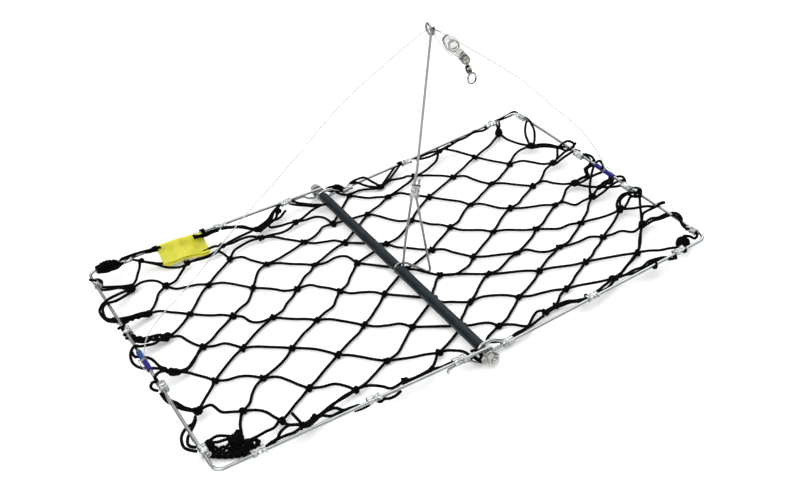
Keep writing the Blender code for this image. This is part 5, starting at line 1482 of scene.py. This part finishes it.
def make_lock():
    body = make_lock_body()
    # Side walls of the housing's lower end, round the button, take the darker copy as well: painted shade
    # along its outline
    edges = body.data.materials.find(CLEAR_PAINTED_SHADE.name)
    for face in body.data.polygons:
        if abs(face.normal.z) < 0.25 and face.center.y < 9.0 * MM:
            face.material_index = edges
    body.data.transform(lock_place())
    finished(body, "lock", "clear_housing", "lock_housing")
    reach = LOCK_HALF + 0.9
    head = (
        (0.2, reach + 0.5), (1.2, reach + 0.35), (1.6, reach - 0.3), (2.1, reach), (2.7, reach - 0.3),
        (2.9, LOCK_HALF + 0.05), (0.8, LOCK_HALF - 0.1),
    )
    rivet = [(radius * MM, height * MM) for radius, height in head]
    rivet += [(radius, -height) for radius, height in reversed(rivet)]
    pin = turned("lock_pin", rivet, lock_place() @ Matrix.Translation(LOCK_PIN), HARDWARE, 32)
    finished(pin, "lock", "steel_hardware")


make_lock()


# Swivel: eye on the lock's pin, banded barrel, end ring


def swivel_loop(name, body, loop_radius, head, centre, way, turn):
    """A wire loop with its ends twisted together into the shank that turns in the barrel."""
    axis = Matrix.Rotation(turn, 3, way) @ way.cross(LOCK_AXIS.cross(LOCK_FACING)).normalized()
    across = axis.cross(-way)
    turns = [FULL_TURN * step / 40 for step in range(40)]
    loop = [centre + loop_radius * (math.cos(at) * -way + math.sin(at) * across) for at in turns]
    ring = swept(f"{name}_ring", [loop], SWIVEL_WIRE_RADIUS, NICKEL, 16, 0.4 * MM, closed=True)
    reach = (centre - head).length - loop_radius
    profile = [
        (0.2 * MM, 0.0), (SHANK_HEAD_RADIUS, 0.0), (SHANK_HEAD_RADIUS, SHANK_HEAD),
        (SWIVEL_WIRE_RADIUS, SHANK_HEAD), (SWIVEL_WIRE_RADIUS, reach - 0.9 * MM),
        (SHANK_BORE, reach - 0.6 * MM), (SHANK_BORE, reach), (0.2 * MM, reach + 0.2 * MM),
    ]
    shank = turned(f"{name}_shank", profile, along(way, head), NICKEL, 24)
    finished(merged(f"{name}_loop", [ring, shank]), body, "nickel", name)


def make_barrel(centre):
    """A barrel with four raised bands and a chamber inside for the two shanks' heads."""
    profile = [(SHANK_BORE, BARREL_HALF), (1.6 * MM, BARREL_HALF), (1.75 * MM, BARREL_HALF - 0.15 * MM)]
    for index in range(33):
        share = index / 32
        height = (BARREL_HALF - 0.3 * MM) * (1.0 - 2.0 * share)
        swell = math.sqrt(1.0 - 0.45 * (height / BARREL_HALF) ** 2)
        band = 0.42 * MM * (math.cos(FULL_TURN * share * 4.0) - 1.0)
        profile.append((BARREL_RADIUS * swell + band, height))
    profile += [(1.75 * MM, 0.15 * MM - BARREL_HALF), (1.6 * MM, -BARREL_HALF), (SHANK_BORE, -BARREL_HALF)]
    profile += [
        (SHANK_BORE, -CHAMBER_HALF), (CHAMBER_RADIUS, -CHAMBER_HALF), (CHAMBER_RADIUS, CHAMBER_HALF),
        (SHANK_BORE, CHAMBER_HALF),
    ]
    barrel = turned("banded_barrel", profile, along(SWIVEL_AXIS, centre), NICKEL, 32, around=True)
    finished(barrel, "swivel_barrel", "nickel", "swivel_barrel")


def make_swivel():
    pin = lock_place() @ LOCK_PIN
    eye = pin + SWIVEL_AXIS * (EYE_RADIUS - SHANK_RADIUS - LOCK_PIN_RADIUS - RUNNING_GAP)
    centre = eye + SWIVEL_AXIS * (EYE_RADIUS + SHANK_RADIUS + SHANK_REACH + BARREL_HALF)
    end = centre + SWIVEL_AXIS * (BARREL_HALF + RUNNING_GAP + SHANK_RADIUS + END_RING_RADIUS)
    head = SWIVEL_AXIS * (CHAMBER_HALF - RUNNING_GAP - SHANK_HEAD)
    make_barrel(centre)
    swivel_loop("swivel_eye", "swivel_eye", EYE_RADIUS, centre - head, eye, -SWIVEL_AXIS, 0.0)
    swivel_loop("swivel_ring", "swivel_ring", END_RING_RADIUS, centre + head, end, SWIVEL_AXIS, END_RING_TURN)


make_swivel()


# Tag: one cut of coated cloth, folded over the frame wire, and its ties


def tag_place():
    """The middle of the tag on the left wing's far wire, X down its flaps and Z along the wire."""
    centre, further = (wire_point(-1, TAG_CENTRE + run, HALF_WIDTH[-1]) for run in (0.0, MM))
    z_axis = (further - centre).normalized()
    x_axis = Vector((0.0, -math.cos(TAG_SLOPE), -math.sin(TAG_SLOPE)))
    return placed((x_axis - z_axis * x_axis.dot(z_axis)).normalized(), z_axis, centre)


def make_tag():
    place = tag_place()
    upper, lower = ([(x * MM, y * MM) for x, y in flap] for flap in (TAG_UPPER_FLAP, TAG_LOWER_FLAP))
    fold = arc((0.0, 0.0), TAG_FOLD_RADIUS, math.radians(68), math.radians(292), 9)
    route = smooth_route([(x, y, 0.0) for x, y in upper + fold + lower], 0.8 * MM)
    length = route_length(route)
    rows = 48
    points, where, faces = [], [], []
    run = 0.0
    for index, spot in enumerate(route):
        if index:
            run += (spot - route[index - 1]).length
            start = (index - 1) * (rows + 1)
            faces += [(at, at + 1, at + rows + 2, at + rows + 1) for at in range(start, start + rows)]
        rounding = max(0.0, TAG_CORNER - min(run, length - run))
        narrower = TAG_CORNER - math.sqrt(max(0.0, TAG_CORNER**2 - rounding**2))
        down = max(0.0, spot.x) / TAG_DROP
        for row in range(rows + 1):
            share = row / rows - 0.5
            out = share * (TAG_LENGTH - 2 * narrower)
            wave = 0.7 * MM * math.sin(8.3 * share + 0.6) * down
            wave += 0.35 * MM * math.sin(21.0 * share) * (0.3 + down)
            curl = 0.9 * MM * down**2 * math.cos(5.0 * share)
            slack = 0.5 * MM * math.exp(-(((share + 0.14) / 0.07) ** 2)) * (1.0 - down)
            slack += 9.0 * MM * max(0.0, -share) ** 1.5
            points.append(tuple(place @ Vector((spot.x + slack, spot.y + wave + curl, out))))
            where.append((out + TAG_LENGTH / 2, run))
    mesh = bpy.data.meshes.new("folded_tag")
    mesh.from_pydata(points, [], faces)
    cut = mesh.uv_layers.new(name="cut")
    for corner in mesh.loops:
        cut.data[corner.index].uv = where[corner.vertex_index]
    mesh.shade_smooth()
    tag = mesh_piece("folded_tag", mesh, TAG_CLOTH)
    thicken = tag.modifiers.new("Thickness", "SOLIDIFY")
    thicken.thickness = TAG_THICKNESS
    thicken.offset = 0.0
    with_modifiers_applied(tag)
    tag.data.set_sharp_from_angle(angle=math.radians(50.0))
    finished(tag, "left_wing", "yellow_plastic", "tag")


def make_ties():
    """A few turns of twine hold the tag's two ends to the wire."""
    side = -1
    knot = tight_knot(0.6)
    radius = FRAME_WIRE_RADIUS + 0.8 * MM
    for number, way in ((1, 1), (2, -1)):
        out = TAG_CENTRE + way * (TAG_LENGTH / 2 + 1.6 * MM)
        turns = []
        for step in range(46):
            turn = FULL_TURN * 3.2 * step / 45
            shift = (step / 45 - 0.5) * 4.2 * MM
            across = HALF_WIDTH[side] + radius * math.cos(turn)
            turns.append(wire_point(side, out + shift, across, radius * math.sin(turn)))
        wraps = twine_along(f"tag_wrap_{number}", [turns], 0.85 * MM, 0.7 * MM)
        top = wire_point(side, out, HALF_WIDTH[side] - 1.8 * MM, 2.9 * MM)
        spots = [(top, (0.3, 0.2, 0.9), (0.9, 0.1, -0.3))]
        bow = set_at(f"tag_bow_{number}", knot, spots, TWINE)
        tie = merged(f"tag_tie_wrap_{number}", [wraps, bow])
        finished(tie, "left_wing", "black_twine", f"tag_tie_{number}")
    bpy.data.objects.remove(knot)


# Net


def net_place(side, x, y):
    """A point of the net: low in the middle of the wing, rising to just under the wire at its edges."""
    to_edge = min(HALF_WIDTH[side] - abs(y), WING_LENGTH - abs(x))
    near = min(1.0, max(0.0, 1.0 - (to_edge - SELVEDGE_INSET) / NET_RISE_WIDTH))
    top = max(wire_point(side, abs(x), y).z - SELVEDGE_DROP, NET_HEIGHT)
    return Vector((x, y, NET_HEIGHT + (top - NET_HEIGHT) * near**2))


def neighbours(knot, following):
    """The next column's knots that a knot is tied to: the nearest one beyond it and the nearest before it."""
    above = [other for other in following if other.y > knot.y]
    below = [other for other in following if other.y <= knot.y]
    nearest = []
    if above:
        nearest.append(min(above, key=lambda other: other.y))
    if below:
        nearest.append(max(below, key=lambda other: other.y))
    return nearest


def slack_strand(side, first, last, slack):
    """A strand between two knots, which bows to one side and the other of its chord."""
    way = last - first
    across = Vector((-way.y, way.x)).normalized()
    spots = [
        first + way * share + across * shift * MM
        for share, shift in zip((0.0, 0.25, 0.5, 0.75, 1.0), (0.0, *slack, 0.0))
    ]
    return [net_place(side, spot.x, spot.y) for spot in spots]


def net_paths(side):
    """The columns of knots of a wing's half of the net, and its strands up to the middle."""
    slack = iter(SLACK[side])
    columns = [scaled(column) for column in KNOTS[side]]
    opposite = scaled(KNOTS[-side][0])
    paths = []
    for column, following in zip(columns, columns[1:]):
        for knot in column:
            for other in neighbours(knot, following):
                paths.append(slack_strand(side, knot, other, next(slack)))
    if side < 0:
        crossings = [(knot, other) for knot in columns[0] for other in neighbours(knot, opposite)]
    else:
        crossings = [(own, other) for other in opposite for own in neighbours(other, columns[0])]
    for own, other in crossings:
        at = own.lerp(other, own.x / (own.x - other.x))
        middle = own.lerp(at, 0.5)
        paths.append([
            net_place(side, own.x, own.y),
            Vector((middle.x, middle.y, NET_HEIGHT)),
            Vector((side * 0.15 * MM, at.y, NET_HEIGHT)),
        ])
    return columns, paths


def tight_knot(size=1.0):
    """A mesh knot, as a small overhand knot of the same twine."""
    path = []
    for step in range(36):
        t = FULL_TURN * step / 36
        x = math.sin(t) + 2 * math.sin(2 * t)
        y = math.cos(t) - 2 * math.cos(2 * t)
        path.append(Vector((0.95 * x, 0.85 * y, 1.35 * -math.sin(3 * t))) * MM * size)
    return twine_along("knot", [path], 1.45 * MM * size, 0.75 * MM * size, closed=True)


def wound(centre, size, turn, winds, seed):
    """A path that winds round a ball this way and that, as twine does in a thick knot."""
    chance = random.Random(seed)
    half = [value * MM / 2 - TWINE_RADIUS for value in size]
    heading = Matrix.Rotation(math.radians(turn), 3, "Z")
    path = []
    for step in range(12 * winds):
        t = step / 12
        spot = Vector((math.cos(FULL_TURN * t), math.sin(FULL_TURN * t), 0.0))
        spot = Euler((1.3 * t + seed, 0.7 * t, 0.9 * t)).to_matrix() @ spot
        swell = chance.uniform(0.9, 1.06)
        spot = heading @ Vector([value * reach * swell for value, reach in zip(spot, half)])
        spot += Vector(centre) * MM
        spot.z = max(spot.z, TWINE_RADIUS)
        path.append(spot)
    return path


def gathered_round_wire():
    """Net gathered in a thick roll round the left wing's far wire, wound on in layers, there and back."""
    path = []
    steps = 12 * 20
    for step in range(steps):
        run = step / steps * len(GATHER_LAYERS)
        layer = min(len(GATHER_LAYERS) - 1, int(run))
        run -= layer
        run = run if layer % 2 == 0 else 1.0 - run
        reach = GATHER_LAYERS[layer] * MM * math.sqrt(max(0.3, 1.0 - (2 * run - 1) ** 2))
        reach = max(reach, FRAME_WIRE_RADIUS + TWINE_RADIUS)
        turn = FULL_TURN * step / 12
        out = (GATHER_START + GATHER_LENGTH * run) * MM + 1.2 * MM * math.sin(turn + layer)
        path.append(wire_point(-1, out, HALF_WIDTH[-1] + reach * math.cos(turn), reach * math.sin(turn)))
    return path


def twisted(points, count, radius, pitch):
    """Strands that twist round each other along a route, none lower than the floor."""
    route = smooth_route(scaled(points), 1.5 * MM)
    paths = [[] for _ in range(count)]
    for index, (spot, following) in enumerate(zip(route, route[1:] + [2 * route[-1] - route[-2]])):
        way = (following - spot).normalized()
        across = Vector((-way.y, way.x, 0.0)).normalized()
        for strand, path in enumerate(paths):
            turn = FULL_TURN * (index * 1.5 / pitch + strand / count)
            place = spot + radius * MM * (math.cos(turn) * across + math.sin(turn) * way.cross(across))
            place.z = max(place.z, TWINE_RADIUS)
            path.append(place)
    return paths


def core(centre, size, turn):
    """The dark heart of a ball of twine, seen only between its windings."""

    def build(shape):
        reach = Matrix.Diagonal(Vector([value * MM * 0.4 for value in size]).to_4d())
        bmesh.ops.create_uvsphere(shape, u_segments=20, v_segments=10, radius=1.0, matrix=reach)
        heading = Matrix.Translation(Vector(centre) * MM) @ Matrix.Rotation(math.radians(turn), 4, "Z")
        bmesh.ops.transform(shape, matrix=heading, verts=shape.verts)

    return built("core", build, TWINE)


def make_tangles():
    for name, side in SIDES.items():
        paths, cores = [], []
        for index, (centre, size, turn, winds) in enumerate(LUMPS[side]):
            paths.append(wound(centre, size, turn, winds, index + 1))
            cores.append(core(centre, size, turn))
        for rope in ROPES[side]:
            paths += twisted(*rope)
        if side < 0:
            paths.append(gathered_round_wire())
        tangle = merged(f"net_{name}_tangle", [twine_along(f"net_{name}_tangles", paths), *cores])
        finished(tangle, f"{name}_wing", "black_twine", *BUNDLES[side])


def make_nets():
    knot = tight_knot()
    for name, side in SIDES.items():
        chance = random.Random(5 + side)
        columns, paths = net_paths(side)
        blend = ("centre", f"{name}_wing", (side * 2 * MM, 0.0, 0.0), (side * 45 * MM, 0.0, 0.0))
        finished(twine_along(f"net_{name}_mesh", paths), blend, "black_twine", f"net_{name}")
        spots = [net_place(side, spot.x, spot.y) for column in columns for spot in column]
        places = []
        for spot in spots + scaled(EDGE_KNOTS[side]):
            turn = Euler((chance.uniform(-0.5, 0.5), chance.uniform(-0.5, 0.5), chance.uniform(0, 6.28)))
            turn = turn.to_matrix()
            places.append((spot, turn @ Vector((0, 0, 1)), turn @ Vector((1, 0, 0))))
        finished(set_at(f"net_{name}_knots", knot, places, TWINE), blend, "black_twine")
        edge = twine_along(f"net_{name}_edge", [scaled(route) for route in EDGE_TWINE[side]])
        finished(edge, blend, "black_twine")
    bpy.data.objects.remove(knot)


make_tag()
make_ties()
make_nets()
make_tangles()
